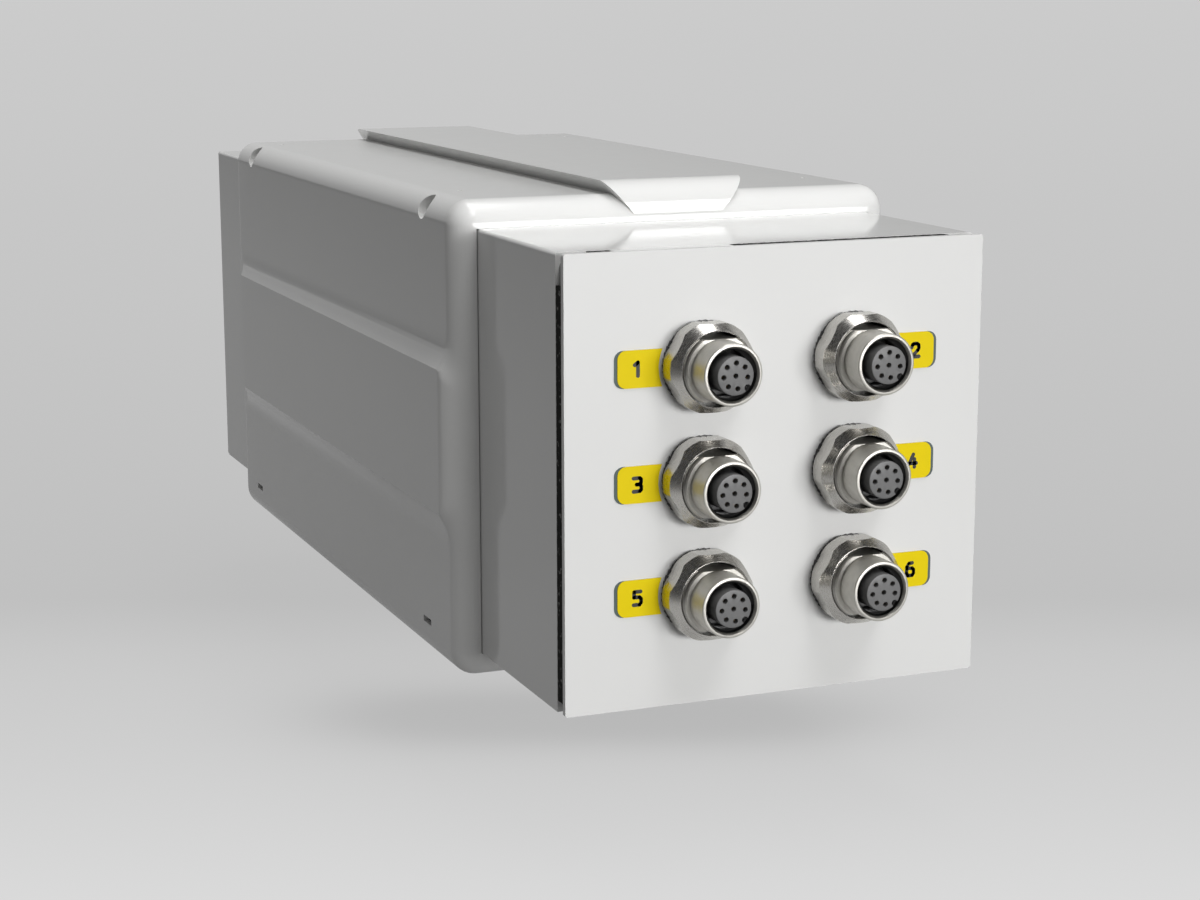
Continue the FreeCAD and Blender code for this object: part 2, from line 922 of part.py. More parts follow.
def inlet_outline(width, height, cut, y, z):
    """A rectangle with its two upper corners cut off, as on a mains plug."""
    return [
        Vector(inlet_x - width / 2, y, z - height / 2),
        Vector(inlet_x + width / 2, y, z - height / 2),
        Vector(inlet_x + width / 2, y, z + height / 2 - cut),
        Vector(inlet_x + width / 2 - cut, y, z + height / 2),
        Vector(inlet_x - width / 2 + cut, y, z + height / 2),
        Vector(inlet_x - width / 2, y, z + height / 2 - cut),
    ]


def inlet_latch(side):
    """A sprung tongue on a side of the inlet's body, which catches behind the panel."""
    root = inlet_x + side * inlet_body_width / 2
    tip = root + side * inlet_latch_proud
    y1 = box_rear - slip
    z0 = box_floor + inlet_lift - inlet_latch_height / 2
    wedge = [Vector(root, y1 - inlet_latch_length, z0), Vector(tip, y1, z0), Vector(root, y1, z0)]
    return outline(wedge, Vector(0, 0, inlet_latch_height))


def mains_inlet():
    """A mains inlet that snaps into the panel."""
    z = box_floor + inlet_lift
    face = panel_back + inlet_flange_thickness
    flange = block(
        inlet_x - inlet_flange_width / 2, inlet_x + inlet_flange_width / 2, panel_back, face,
        z - inlet_flange_height / 2, z + inlet_flange_height / 2,
    )
    flange = flange.makeFillet(inlet_corner, along(flange.Edges, depth_axis))
    body = block(
        inlet_x - inlet_body_width / 2, inlet_x + inlet_body_width / 2, face - inlet_depth, face,
        z - inlet_body_height / 2, z + inlet_body_height / 2,
    )
    cavity = outline(
        inlet_outline(
            inlet_cavity_width, inlet_cavity_height, inlet_cavity_cut, face - inlet_cavity_depth, z
        ),
        Vector(0, inlet_cavity_depth + overcut, 0),
    )
    cuts = [cavity]
    for x, pin_z in pin_places():
        cuts.append(pin_block(x, pin_z, face - inlet_depth - overcut, face, running))
    return flange.fuse([body, inlet_latch(-1), inlet_latch(1)]).cut(cuts).removeSplitter()


def pin_places():
    z = box_floor + inlet_lift
    return [
        (inlet_x - pin_spread, z - pin_offset),
        (inlet_x + pin_spread, z - pin_offset),
        (inlet_x, z + pin_offset),
    ]


def pin_block(x, z, y0, y1, extra):
    return block(
        x - pin_width / 2 - extra, x + pin_width / 2 + extra, y0, y1,
        z - pin_height / 2 - extra, z + pin_height / 2 + extra,
    )


def inlet_pins():
    face = panel_back + inlet_flange_thickness
    y0 = face - inlet_depth - pin_tail
    y1 = face - inlet_cavity_depth + pin_length
    return Part.makeCompound([pin_block(x, z, y0, y1, 0) for x, z in pin_places()])


def rocker_axis():
    y = panel_back + switch_bezel_thickness - rocker_pivot_depth
    return Vector(switch_x, y, box_floor + inlet_lift)


def switch_frame():
    z = box_floor + inlet_lift
    face = panel_back + switch_bezel_thickness
    bezel = block(
        switch_x - switch_bezel_width / 2, switch_x + switch_bezel_width / 2, panel_back, face,
        z - switch_bezel_height / 2, z + switch_bezel_height / 2,
    )
    rim = along(bezel.Edges, depth_axis) + on_face(bezel, lambda p: p.y - face)
    bezel = bezel.makeFillet(plate_corner, rim)
    body = block(
        switch_x - switch_body_width / 2, switch_x + switch_body_width / 2,
        panel_back - switch_depth, panel_back,
        z - switch_body_height / 2, z + switch_body_height / 2,
    )
    half_x = rocker_width / 2 + rocker_clear
    half_z = rocker_radius + rocker_clear
    cavity = block(
        switch_x - half_x, switch_x + half_x, face - switch_cavity_depth, face + overcut,
        z - half_z, z + half_z,
    )
    axis = rocker_axis()
    reach = rocker_width / 2 + rocker_pin_length + running
    pin_hole = Part.makeCylinder(
        rocker_pin_radius + running, 2 * reach, axis - Vector(reach, 0, 0), Vector(1, 0, 0)
    )
    return bezel.fuse(body).cut([cavity, pin_hole]).removeSplitter()


def rocker():
    """The switch's paddle, lying with its upper end pressed in."""
    axis = rocker_axis()
    x0 = -rocker_width / 2
    top = math.sqrt(rocker_radius**2 - rocker_face**2)
    back = math.sqrt(rocker_radius**2 - rocker_back**2)
    section = Part.Wire([
        Part.makeLine(Vector(x0, rocker_face, -top), Vector(x0, rocker_valley, 0)),
        Part.makeLine(Vector(x0, rocker_valley, 0), Vector(x0, rocker_face, top)),
        Part.Arc(
            Vector(x0, rocker_face, top), Vector(x0, 0, rocker_radius), Vector(x0, -rocker_back, back)
        ).toShape(),
        Part.makeLine(Vector(x0, -rocker_back, back), Vector(x0, -rocker_back, -back)),
        Part.Arc(
            Vector(x0, -rocker_back, -back), Vector(x0, 0, -rocker_radius), Vector(x0, rocker_face, -top)
        ).toShape(),
    ])
    paddle = Part.Face(section).extrude(Vector(rocker_width, 0, 0))
    reach = rocker_width / 2 + rocker_pin_length
    pin = Part.makeCylinder(rocker_pin_radius, 2 * reach, Vector(-reach, 0, 0), Vector(1, 0, 0))
    paddle = paddle.fuse(pin)
    paddle.rotate(Vector(0, 0, 0), Vector(1, 0, 0), rocker_tilt)
    paddle.translate(axis)
    return paddle.removeSplitter()


def data_socket():
    z = box_floor + inlet_lift
    face = panel_back + jack_flange_thickness
    half_w = jack_width / 2
    half_h = jack_height / 2
    flange = block(
        jack_x - half_w - jack_flange, jack_x + half_w + jack_flange, panel_back, face,
        z - half_h - jack_flange, z + half_h + jack_flange,
    )
    body = block(jack_x - half_w, jack_x + half_w, face - jack_depth, face, z - half_h, z + half_h)
    low = z - jack_mouth_height / 2 + jack_mouth_lift
    mouth = block(
        jack_x - jack_mouth_width / 2, jack_x + jack_mouth_width / 2,
        face - jack_mouth_depth, face + overcut, low, low + jack_mouth_height,
    )
    key = block(
        jack_x - jack_key_width / 2, jack_x + jack_key_width / 2,
        face - jack_mouth_depth, face + overcut, low - jack_key_height, low,
    )
    return flange.fuse(body).cut([mouth, key]).removeSplitter()


# Electronics inside

def controller_board():
    half = board_width / 2
    board = block(-half, half, board_front, board_front + board_length, board_under, board_top)
    for x, y in standoff_places():
        board = board.cut(post(stud_radius + slip, x, y, board_under - overcut, board_top + overcut))
    return board


def standoff_places():
    half = board_width / 2 - standoff_inset
    middle = board_front + board_length / 2
    for y in (board_front + standoff_inset, middle, board_front + board_length - standoff_inset):
        for x in (-half, half):
            yield x, y


def board_standoffs():
    posts = []
    for x, y in standoff_places():
        pillar = post(standoff_radius, x, y, tray_top, board_under)
        tip = post(stud_radius, x, y, board_under, board_top + screw_head_height)
        posts.append(pillar.fuse(tip))
    return Part.makeCompound(posts)


def driver_module(y):
    """A small upright board with a finned heat sink on its rear face."""
    half = driver_width / 2
    board = block(-half, half, y, y + board_thickness, board_top, board_top + driver_height)
    sink_low = board_top + driver_height - driver_sink_height - driver_sink_inset
    sink = block(
        -driver_sink_width / 2, driver_sink_width / 2,
        y + board_thickness, y + board_thickness + driver_sink_thickness,
        sink_low, sink_low + driver_sink_height,
    )
    pitch = driver_sink_width / driver_fins
    for index in range(driver_fins - 1):
        x = -driver_sink_width / 2 + (index + 1) * pitch
        sink = sink.cut(
            block(
                x - pitch / 2 + driver_fin, x + pitch / 2 - driver_fin,
                y + board_thickness + driver_fin, y + board_thickness + driver_sink_thickness + overcut,
                sink_low - overcut, sink_low + driver_sink_height + overcut,
            )
        )
    return board.fuse(sink)


def driver_modules():
    return Part.makeCompound(
        [driver_module(board_front + driver_front + i * driver_pitch) for i in range(driver_count)]
    )


def power_supply():
    """A caged supply on the tray: a perforated cover over its transformer and board."""
    half = supply_width / 2
    y0 = supply_front
    cage = block(-half, half, y0, supply_rear, tray_top, tray_top + supply_height)
    room = block(
        -half + supply_wall, half - supply_wall, y0 + supply_wall, supply_rear - supply_wall,
        tray_top + supply_wall, tray_top + supply_height - supply_wall,
    )
    cuts = [room]
    pitch = supply_length / (supply_slots + 1)
    for index in range(supply_slots):
        y = y0 + (index + 1) * pitch
        cuts.append(
            block(
                -supply_slot_width / 2, supply_slot_width / 2, y - supply_slot, y + supply_slot,
                tray_top + supply_height - supply_wall - overcut, tray_top + supply_height + overcut,
            )
        )
    return cage.cut(cuts)


def supply_core():
    """The transformer and the two large capacitors inside the supply's cage."""
    floor = tray_top + supply_wall
    middle = supply_rear - supply_length / 2
    core = block(
        -core_width / 2, core_width / 2, middle, middle + core_length, floor, floor + core_height
    )
    cans = [
        post(can_radius, x, middle - can_clear, floor, floor + can_height)
        for x in (-can_spread, can_spread)
    ]
    return Part.makeCompound([core] + cans)


def main():
    os.makedirs("parts", exist_ok=True)
    pieces = {
        "sleeve": sleeve(),
        "latch_lugs": latch_lugs(),
        "top_cover": top_cover(),
        "base_tray": base_tray(),
        "base_screws": base_screws(),
        "front_frame": front_frame(),
        "front_seal": front_seal(),
        "rear_frame": rear_frame(),
        "front_plate": front_plate(),
        "plate_studs": plate_studs(),
        "stud_nuts": stud_nuts(),
        "number_labels": number_labels(),
        "rear_panel": rear_panel(),
        "rear_screws": rear_screws(),
        "fan_frame": fan_frame(),
        "fan_rotor": fan_rotor(),
        "fan_screws": fan_screws(),
        "mains_inlet": mains_inlet(),
        "inlet_pins": inlet_pins(),
        "switch_frame": switch_frame(),
        "rocker": rocker(),
        "data_socket": data_socket(),
        "controller_board": controller_board(),
        "board_standoffs": board_standoffs(),
        "driver_modules": driver_modules(),
        "power_supply": power_supply(),
        "supply_core": supply_core(),
    }
    makers = {
        "shell": socket_shell(),
        "nut": socket_nut(),
        "washer": socket_washer(),
        "insert": socket_insert(),
        "contacts": socket_contacts(),
    }
    gaskets = []
    for number, x, z in socket_places():
        for kind, shape in makers.items():
            pieces[f"socket_{number}_{kind}"] = at_socket(shape, x, z)
        gaskets.append(at_socket(socket_gasket(), x, z))
    pieces["socket_gaskets"] = Part.makeCompound(gaskets)

    for name, shape in pieces.items():
        shape.exportStep(f"parts/{name}.step")
        print(name, len(shape.Solids), round(shape.Volume / 1000, 2), "cm3", shape.isValid())


main()
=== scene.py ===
"""Drive unit of a laboratory agitator, dressed for the studio.

A long square metal box with six round sockets on its front plate, held in a glossy moulded sleeve
with a dovetail rail on top. Each class below dresses or replaces the pieces of one sub-assembly.
"""

from __future__ import annotations

import logging
import math
from dataclasses import dataclass
from enum import Enum
from typing import Callable, Iterable, Sequence

import bmesh
import bpy
from mathutils import Matrix, Vector, noise

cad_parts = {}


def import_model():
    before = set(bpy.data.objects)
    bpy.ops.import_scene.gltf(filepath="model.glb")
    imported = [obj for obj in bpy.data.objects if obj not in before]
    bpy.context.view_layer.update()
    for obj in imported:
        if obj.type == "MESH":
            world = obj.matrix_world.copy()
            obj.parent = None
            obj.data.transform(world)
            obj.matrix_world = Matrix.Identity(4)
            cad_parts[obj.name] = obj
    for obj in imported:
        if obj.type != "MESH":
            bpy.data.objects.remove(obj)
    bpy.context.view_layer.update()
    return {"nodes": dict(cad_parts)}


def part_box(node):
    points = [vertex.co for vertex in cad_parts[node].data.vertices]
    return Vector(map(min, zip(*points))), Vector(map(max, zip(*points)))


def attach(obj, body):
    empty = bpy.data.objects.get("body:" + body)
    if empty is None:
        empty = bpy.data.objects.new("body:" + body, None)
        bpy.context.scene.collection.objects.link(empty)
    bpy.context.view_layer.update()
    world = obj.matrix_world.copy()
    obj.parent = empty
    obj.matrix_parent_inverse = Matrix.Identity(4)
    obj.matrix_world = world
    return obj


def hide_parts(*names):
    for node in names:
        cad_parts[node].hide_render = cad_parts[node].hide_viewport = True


LOG = logging.getLogger("agitator")
MM = 0.001
WELD = 2e-6
SNAP = 1e-7

Point = tuple[float, float]
Colour = tuple[float, float, float]


class Body(Enum):
    """The moving groups that a piece can ride on."""

    UNIT = "unit"
    FAN = "fan"
    ROCKER = "power_rocker"


class Slot(Enum):
    """The record's material slots, one named with each piece here."""

    SLEEVE = "sleeve_plastic"
    PAINT = "white_paint"
    FRAME = "frame_plastic"
    RUBBER = "black_rubber"
    BLACK = "black_plastic"
    NICKEL = "nickel"
    INSERT = "insert_grey"
    CONTACT = "contact_metal"
    LABEL = "label_yellow"
    STEEL = "screw_steel"
    BOARD = "board_green"
    CAGE = "cage_metal"
    CORE = "core_plastic"


# Node trees


class Nodes:
    """A node tree, with short ways to add nodes and to feed them values or sockets."""

    def __init__(self, tree: bpy.types.NodeTree) -> None:
        """Takes up a tree."""
        self.tree = tree

    def put(self, value: object, socket: bpy.types.NodeSocket) -> None:
        """Sets an input to a value, or links another socket to it."""
        if isinstance(value, bpy.types.NodeSocket):
            self.tree.links.new(value, socket)
        else:
            socket.default_value = value

    def feed(self, node: bpy.types.Node, *values: object) -> bpy.types.Node:
        """Sets a node's first inputs to values or sockets."""
        for socket, value in zip(node.inputs, values):
            self.put(value, socket)
        return node

    def make(self, kind: str, setup: dict[str, object] | None = None, **values: object) -> bpy.types.Node:
        """Adds a node.

        Args:
            kind: the node's full type name.
            setup: properties to set on the node.
            values: input names, with spaces written as underscores, and their values or sockets.

        Returns:
            The new node.
        """
        node = self.tree.nodes.new(kind)
        for key, value in (setup or {}).items():
            setattr(node, key, value)
        for key, value in values.items():
            self.put(value, node.inputs[key.replace("_", " ")])
        return node

    def maths(self, operation: str, first: object, second: object) -> bpy.types.NodeSocket:
        """The result of a sum on two values or sockets."""
        return self.feed(self.make("ShaderNodeMath", {"operation": operation}), first, second).outputs[0]

    def vector(self, operation: str, first: object, second: object) -> bpy.types.NodeSocket:
        """The result of a sum on two vectors, a value where the sum is a dot product."""
        node = self.feed(self.make("ShaderNodeVectorMath", {"operation": operation}), first, second)
        return node.outputs["Value" if operation == "DOT_PRODUCT" else "Vector"]

    def mapped(self, value: bpy.types.NodeSocket, source: Point, target: Point) -> bpy.types.NodeSocket:
        """A value moved from one range to another.

        Args:
            value: the value's socket.
            source: the two ends of its own range.
            target: what those ends become.

        Returns:
            The result's socket.
        """
        node = self.make(
            "ShaderNodeMapRange", Value=value,
            From_Min=source[0], From_Max=source[1], To_Min=target[0], To_Max=target[1],
        )
        return node.outputs["Result"]


# Materials


class Sheet(Nodes):
    """A material's node tree."""

    pattern_range: Point = (0.3, 0.7)

    def __init__(self, name: str) -> None:
        """Starts an empty material.

        Args:
            name: the material's name.
        """
        self.material = bpy.data.materials.new(name)
        self.material.use_nodes = True
        super().__init__(self.material.node_tree)
        self.tree.nodes.clear()
        self.output = self.make("ShaderNodeOutputMaterial")
        self.coords = self.make("ShaderNodeTexCoord").outputs["Object"]

    def add(self, kind: str, **values: object) -> bpy.types.Node:
        """Adds a shader node.

        Args:
            kind: the node's type, without its ShaderNode prefix.
            values: input names, with spaces written as underscores, and their values or sockets.

        Returns:
            The new node.
        """
        return self.make("ShaderNode" + kind, **values)

    def noise(
        self, scale: float, detail: float = 2.0, stretch: Sequence[float] = (1, 1, 1),
    ) -> bpy.types.NodeSocket:
        """A noise value over the piece.

        Args:
            scale: cells in a metre.
            detail: octaves.
            stretch: how much the pattern is squeezed along each axis.

        Returns:
            The noise's value socket.
        """
        mapping = self.add("Mapping", Vector=self.coords, Scale=stretch)
        return self.add("TexNoise", Vector=mapping.outputs[0], Scale=scale, Detail=detail).outputs["Fac"]

    def ramp(
        self, fac: bpy.types.NodeSocket, stops: Sequence[tuple[float, Colour]],
    ) -> bpy.types.NodeSocket:
        """A colour ramp over a value.

        Args:
            fac: the value.
            stops: places and colours.

        Returns:
            The ramp's colour socket.
        """
        node = self.add("ValToRGB", Fac=fac)
        ramp = node.color_ramp
        while len(ramp.elements) < len(stops):
            ramp.elements.new(0.5)
        for element, (place, colour) in zip(ramp.elements, stops):
            element.position = place
            element.color = (*colour, 1.0)
        return node.outputs["Color"]

    def between(self, fac: bpy.types.NodeSocket, low: float, high: float) -> bpy.types.NodeSocket:
        """A value between two limits that follows a pattern.

        Args:
            fac: the pattern, from 0 to 1.
            low: the value where the pattern is lowest.
            high: the value where the pattern is highest.

        Returns:
            The value's socket.
        """
        return self.mapped(fac, self.pattern_range, (low, high))

    def clouded(self, pattern: bpy.types.NodeSocket, dark: Colour, light: Colour) -> bpy.types.NodeSocket:
        """A colour that follows a pattern.

        Args:
            pattern: the pattern, from 0 to 1.
            dark: the colour where the pattern is lowest.
            light: the colour where the pattern is highest.

        Returns:
            The colour's socket.
        """
        low, high = self.pattern_range
        return self.ramp(pattern, [(low, dark), (high, light)])

    def bump(self, height: bpy.types.NodeSocket, strength: float, distance: float) -> bpy.types.NodeSocket:
        """A bumped normal.

        Args:
            height: the pattern's height.
            strength: how strongly it shows.
            distance: its depth in metres.

        Returns:
            The normal's socket.
        """
        return self.add("Bump", Height=height, Strength=strength, Distance=distance).outputs[0]

    def finish(self, **values: object) -> bpy.types.Material:
        """Adds the main shader and closes the sheet.

        Args:
            values: inputs of the Principled shader.

        Returns:
            The finished material.
        """
        shader = self.add("BsdfPrincipled", **values)
        self.tree.links.new(shader.outputs[0], self.output.inputs[0])
        return self.material


def shade(colour: Colour, factor: float) -> Colour:
    """A colour made darker or lighter by a factor."""
    return tuple(min(1.0, part * factor) for part in colour)


@dataclass(frozen=True)
class Plastic:
    """Moulded plastic: a little cloudiness, a fine skin and an uneven gloss."""

    name: str
    colour: Colour
    rough: float = 0.4
    grain: float = 1800.0
    depth: float = 0.00003
    cloud: float = 0.03
    uneven: float = 0.1
    specular: float = 0.5

    def build(self) -> bpy.types.Material:
        """The finish as a material."""
        sheet = Sheet(self.name)
        clouds = sheet.noise(35.0, 3.0)
        grain = sheet.noise(self.grain, 3.0)
        colour = sheet.clouded(clouds, shade(self.colour, 1 - self.cloud), shade(self.colour, 1 + self.cloud))
        patches = sheet.noise(220.0, 4.0)
        rough = sheet.between(patches, self.rough * (1 - self.uneven), self.rough * (1 + self.uneven))
        return sheet.finish(
            Base_Color=colour, Roughness=rough, Specular_IOR_Level=self.specular,
            Normal=sheet.bump(grain, 0.25, self.depth),
        )


@dataclass(frozen=True)
class Paint:
    """Powder coat: a faint orange peel under an even satin gloss."""

    name: str
    colour: Colour
    rough: float = 0.35
    peel: float = 900.0
    depth: float = 0.00003
    specular: float = 0.5

    def build(self) -> bpy.types.Material:
        """The finish as a material."""
        sheet = Sheet(self.name)
        clouds = sheet.noise(18.0, 2.0)
        peel = sheet.noise(self.peel, 2.0)
        colour = sheet.clouded(clouds, shade(self.colour, 0.985), self.colour)
        rough = sheet.between(sheet.noise(300.0, 3.0), self.rough * 0.9, self.rough * 1.1)
        return sheet.finish(
            Base_Color=colour, Roughness=rough, Specular_IOR_Level=self.specular,
            Normal=sheet.bump(peel, 0.2, self.depth),
        )


@dataclass(frozen=True)
class Metal:
    """Turned or plated metal, with fine marks that run round the Y axis or along a chosen way."""

    name: str
    colour: Colour
    rough: float = 0.25
    marks: Sequence[float] = (1.0, 12.0, 1.0)
    scale: float = 900.0
    depth: float = 0.00001
    cloud: float = 0.07

    def build(self) -> bpy.types.Material:
        """The finish as a material."""
        sheet = Sheet(self.name)
        clouds = sheet.noise(160.0, 3.0)
        marks = sheet.noise(self.scale, 4.0, self.marks)
        colour = sheet.clouded(clouds, shade(self.colour, 1 - self.cloud), shade(self.colour, 1 + self.cloud))
        rough = sheet.between(marks, self.rough * 0.8, self.rough * 1.25)
        return sheet.finish(
            Base_Color=colour, Metallic=1.0, Roughness=rough, Normal=sheet.bump(marks, 0.15, self.depth),
        )


@dataclass(frozen=True)
class Foam:
    """Black seal foam with open cells and pale specks where the cut cells catch the light."""

    name: str
    colour: Colour
    speck: Colour
    cells: float = 2600.0

    def build(self) -> bpy.types.Material:
        """The finish as a material."""
        sheet = Sheet(self.name)
        cells = sheet.add("TexVoronoi", Vector=sheet.coords, Scale=self.cells).outputs["Distance"]
        specks = sheet.noise(700.0, 3.0)
        colour = sheet.ramp(specks, [(0.0, self.colour), (0.6, self.colour), (0.68, self.speck)])
        return sheet.finish(
            Base_Color=colour, Roughness=0.9, Specular_IOR_Level=0.05, Normal=sheet.bump(cells, 0.6, 0.0002),
        )


@dataclass(frozen=True)
class Board:
    """Solder mask over copper traces, with rows of pads."""

    name: str
    mask: Colour
    trace: Colour
    pad: Colour

    def build(self) -> bpy.types.Material:
        """The finish as a material."""
        sheet = Sheet(self.name)
        brick = sheet.add("TexBrick", Vector=sheet.coords, Scale=160.0, Mortar_Size=0.03)
        brick.inputs["Color1"].default_value = (*self.mask, 1)
        brick.inputs["Color2"].default_value = (*shade(self.mask, 0.8), 1)
        brick.inputs["Mortar"].default_value = (*self.trace, 1)
        dots = sheet.add("TexVoronoi", Vector=sheet.coords, Scale=240.0).outputs["Distance"]
        pads = sheet.ramp(dots, [(0.10, (1, 1, 1)), (0.14, (0, 0, 0))])
        mix = sheet.make("ShaderNodeMix", {"data_type": "RGBA"})
        for place, value in ((0, pads), (6, brick.outputs["Color"]), (7, (*self.pad, 1))):
            sheet.put(value, mix.inputs[place])
        return sheet.finish(Base_Color=mix.outputs[2], Roughness=0.35, Normal=sheet.bump(dots, 0.2, 0.00005))


@dataclass
class Palette:
    """Every finish of the unit, built once."""

    def __post_init__(self) -> None:
        """Builds the materials."""
        self.sleeve = Plastic(
            "sleeve plastic", (0.745, 0.745, 0.735), 0.14,
            cloud=0.004, depth=0.0000002, uneven=0.02, specular=0.4,
        ).build()
        self.paint = Paint("white gloss coat", (0.77, 0.77, 0.76), 0.09, depth=0.0000003).build()
        self.plate = Paint(
            "front plate coat", (0.735, 0.735, 0.725), 0.38, depth=0.000003, specular=0.4,
        ).build()
        self.frame = Plastic("frame plastic", (0.30, 0.30, 0.29), 0.5).build()
        self.foam = Foam("seal foam", (0.034, 0.034, 0.032), (0.26, 0.26, 0.25)).build()
        self.rubber = Plastic("gasket rubber", (0.02, 0.02, 0.02), 0.7).build()
        self.black = Plastic("black plastic", (0.018, 0.018, 0.018), 0.38).build()
        self.gloss = Plastic("rocker plastic", (0.012, 0.012, 0.012), 0.18).build()
        self.nickel = Metal("satin nickel", (0.58, 0.565, 0.535), 0.25, depth=0.000002, cloud=0.02).build()
        # Painted shade: the shell's body thread is nickel darkened to stand for the shade between its ridges.
        self.thread = Metal("cut thread", (0.34, 0.33, 0.31), 0.32).build()
        self.tube = Metal("bead blasted nickel", (0.53, 0.517, 0.48), 0.45, (1, 1, 1), cloud=0.02).build()
        # Painted shade: the bore's lining and thread are nickel made near black, standing for the shade deep
        # inside the bore.
        self.bore = Metal("blackened bore", (0.10, 0.10, 0.10), 0.38).build()
        self.insert = Plastic("insert plastic", (0.15, 0.15, 0.15), 0.4, specular=0.4).build()
        # Dull gold; its darkness is partly painted shade for contacts sunk deep in their holes.
        self.contact = Metal("contact gold", (0.42, 0.34, 0.22), 0.3).build()
        self.steel = Metal("screw steel", (0.56, 0.56, 0.55), 0.28, (1, 1, 1)).build()
        self.label = Plastic("label film", (0.80, 0.62, 0.002), 0.45, cloud=0.01, specular=0.1).build()
        self.label_edge = Plastic("label edge", (0.06, 0.095, 0.09), 0.5).build()
        self.ink = Plastic("label ink", (0.01, 0.01, 0.01), 0.45).build()
        self.board = Board("board mask", (0.01, 0.10, 0.03), (0.03, 0.20, 0.07), (0.72, 0.70, 0.65)).build()
        self.cage = Metal("cage sheet", (0.75, 0.75, 0.74), 0.35, (1, 6, 1)).build()
        self.core = Plastic("core wrap", (0.04, 0.04, 0.05), 0.4).build()


# Mesh making


def from_bmesh(name: str, bm: bmesh.types.BMesh, material: bpy.types.Material) -> bpy.types.Object:
    """Turns a bmesh into an object of the scene.

    Args:
        name: the object's name.
        bm: the mesh, which is freed.
        material: its material.

    Returns:
        The new object.
    """
    mesh = bpy.data.meshes.new(name)
    bm.to_mesh(mesh)
    bm.free()
    piece = bpy.data.objects.new(name, mesh)
    piece.data.materials.append(material)
    bpy.context.collection.objects.link(piece)
    return piece


def settle(piece: bpy.types.Object) -> bpy.types.Object:
    """Applies a piece's modifiers and leaves a plain mesh.

    Args:
        piece: the object.

    Returns:
        The same object.
    """
    graph = bpy.context.evaluated_depsgraph_get()
    shaped = piece.evaluated_get(graph)
    mesh = bpy.data.meshes.new_from_object(shaped, preserve_all_data_layers=True, depsgraph=graph)
    piece.modifiers.clear()
    old = piece.data
    piece.data = mesh
    bpy.data.meshes.remove(old)
    mesh.name = piece.name
    return piece


def soften(piece: bpy.types.Object, degrees: float = 32.0, bevel: float = 0.0) -> bpy.types.Object:
    """Smooths a piece's round faces, keeps its hard edges and can break them with a small bevel.

    Args:
        piece: the object.
        degrees: the angle from which an edge stays hard.
        bevel: the bevel's width in metres, or 0 for none.

    Returns:
        The same object.
    """
    mesh = piece.data
    bm = bmesh.new()
    bm.from_mesh(mesh)
    bmesh.ops.remove_doubles(bm, verts=bm.verts, dist=WELD)
    limit = math.radians(degrees)
    for edge in bm.edges:
        edge.smooth = len(edge.link_faces) == 2 and edge.calc_face_angle(0.0) < limit
    for face in bm.faces:
        face.smooth = True
    bm.to_mesh(mesh)
    bm.free()
    if bevel:
        edges = piece.modifiers.new("bevel", "BEVEL")
        edges.width = bevel
        edges.segments = 2
        edges.limit_method = "ANGLE"
        edges.angle_limit = limit
        edges.use_clamp_overlap = True
        edges.harden_normals = False
    weighted = piece.modifiers.new("weighted", "WEIGHTED_NORMAL")
    weighted.keep_sharp = not bevel
    weighted.weight = 80
    return settle(piece)


def ring_of(bm: bmesh.types.BMesh, points: Iterable[Vector]) -> list[bmesh.types.BMVert]:
    """Adds one ring of vertices to a bmesh."""
    return [bm.verts.new(point) for point in points]


def lathe(
    name: str, outline: Sequence[Point], material: bpy.types.Material, steps: int = 96,
) -> bpy.types.Object:
    """A closed solid turned about the Y axis.

    Args:
        name: the piece's name.
        outline: (radius, y) points of its closed section in millimetres.
        material: its material.
        steps: facets round the axis.

    Returns:
        The new object.
    """
    bm = bmesh.new()
    rings = []
    for radius, y in outline:
        if radius == 0:
            rings.append([bm.verts.new((0, y * MM, 0))] * steps)
            continue
        turns = [2 * math.pi * k / steps for k in range(steps)]
        circle = [Vector((radius * math.cos(a), y, radius * math.sin(a))) * MM for a in turns]
        rings.append(ring_of(bm, circle))
    for near, far in zip(rings, rings[1:] + rings[:1]):
        for k in range(steps):
            corners = [near[k], near[(k + 1) % steps], far[(k + 1) % steps], far[k]]
            distinct = list(dict.fromkeys(corners))
            if len(distinct) > 2:
                bm.faces.new(distinct)
    bmesh.ops.recalc_face_normals(bm, faces=bm.faces)
    return from_bmesh(name, bm, material)


def prism(
    name: str, outline: Sequence[Point], y0: float, y1: float, material: bpy.types.Material,
) -> bpy.types.Object:
    """A closed solid pushed along Y from an outline.

    Args:
        name: the piece's name.
        outline: (x, z) points in millimetres.
        y0: its front, in millimetres.
        y1: its rear, in millimetres.
        material: its material.

    Returns:
        The new object.
    """
    bm = bmesh.new()
    front = ring_of(bm, (Vector((x, y0, z)) * MM for x, z in outline))
    back = ring_of(bm, (Vector((x, y1, z)) * MM for x, z in outline))
    count = len(outline)
    for k in range(count):
        bm.faces.new((front[k], front[(k + 1) % count], back[(k + 1) % count], back[k]))
    bm.faces.new(front)
    bm.faces.new(back[::-1])
    bmesh.ops.recalc_face_normals(bm, faces=bm.faces)
    return from_bmesh(name, bm, material)


def carve(
    piece: bpy.types.Object, cutters: Sequence[bpy.types.Object], keep: str = "DIFFERENCE",
) -> bpy.types.Object:
    """Cuts a piece with other solids, which are then removed.

    Args:
        piece: the object.
        cutters: the solids.
        keep: DIFFERENCE or INTERSECT.

    Returns:
        The same object.
    """
    for cutter in cutters:
        cut = piece.modifiers.new("cut", "BOOLEAN")
        cut.object = cutter
        cut.operation = keep
        cut.solver = "EXACT"
    settle(piece)
    for cutter in cutters:
        bpy.data.objects.remove(cutter, do_unlink=True)
    return piece


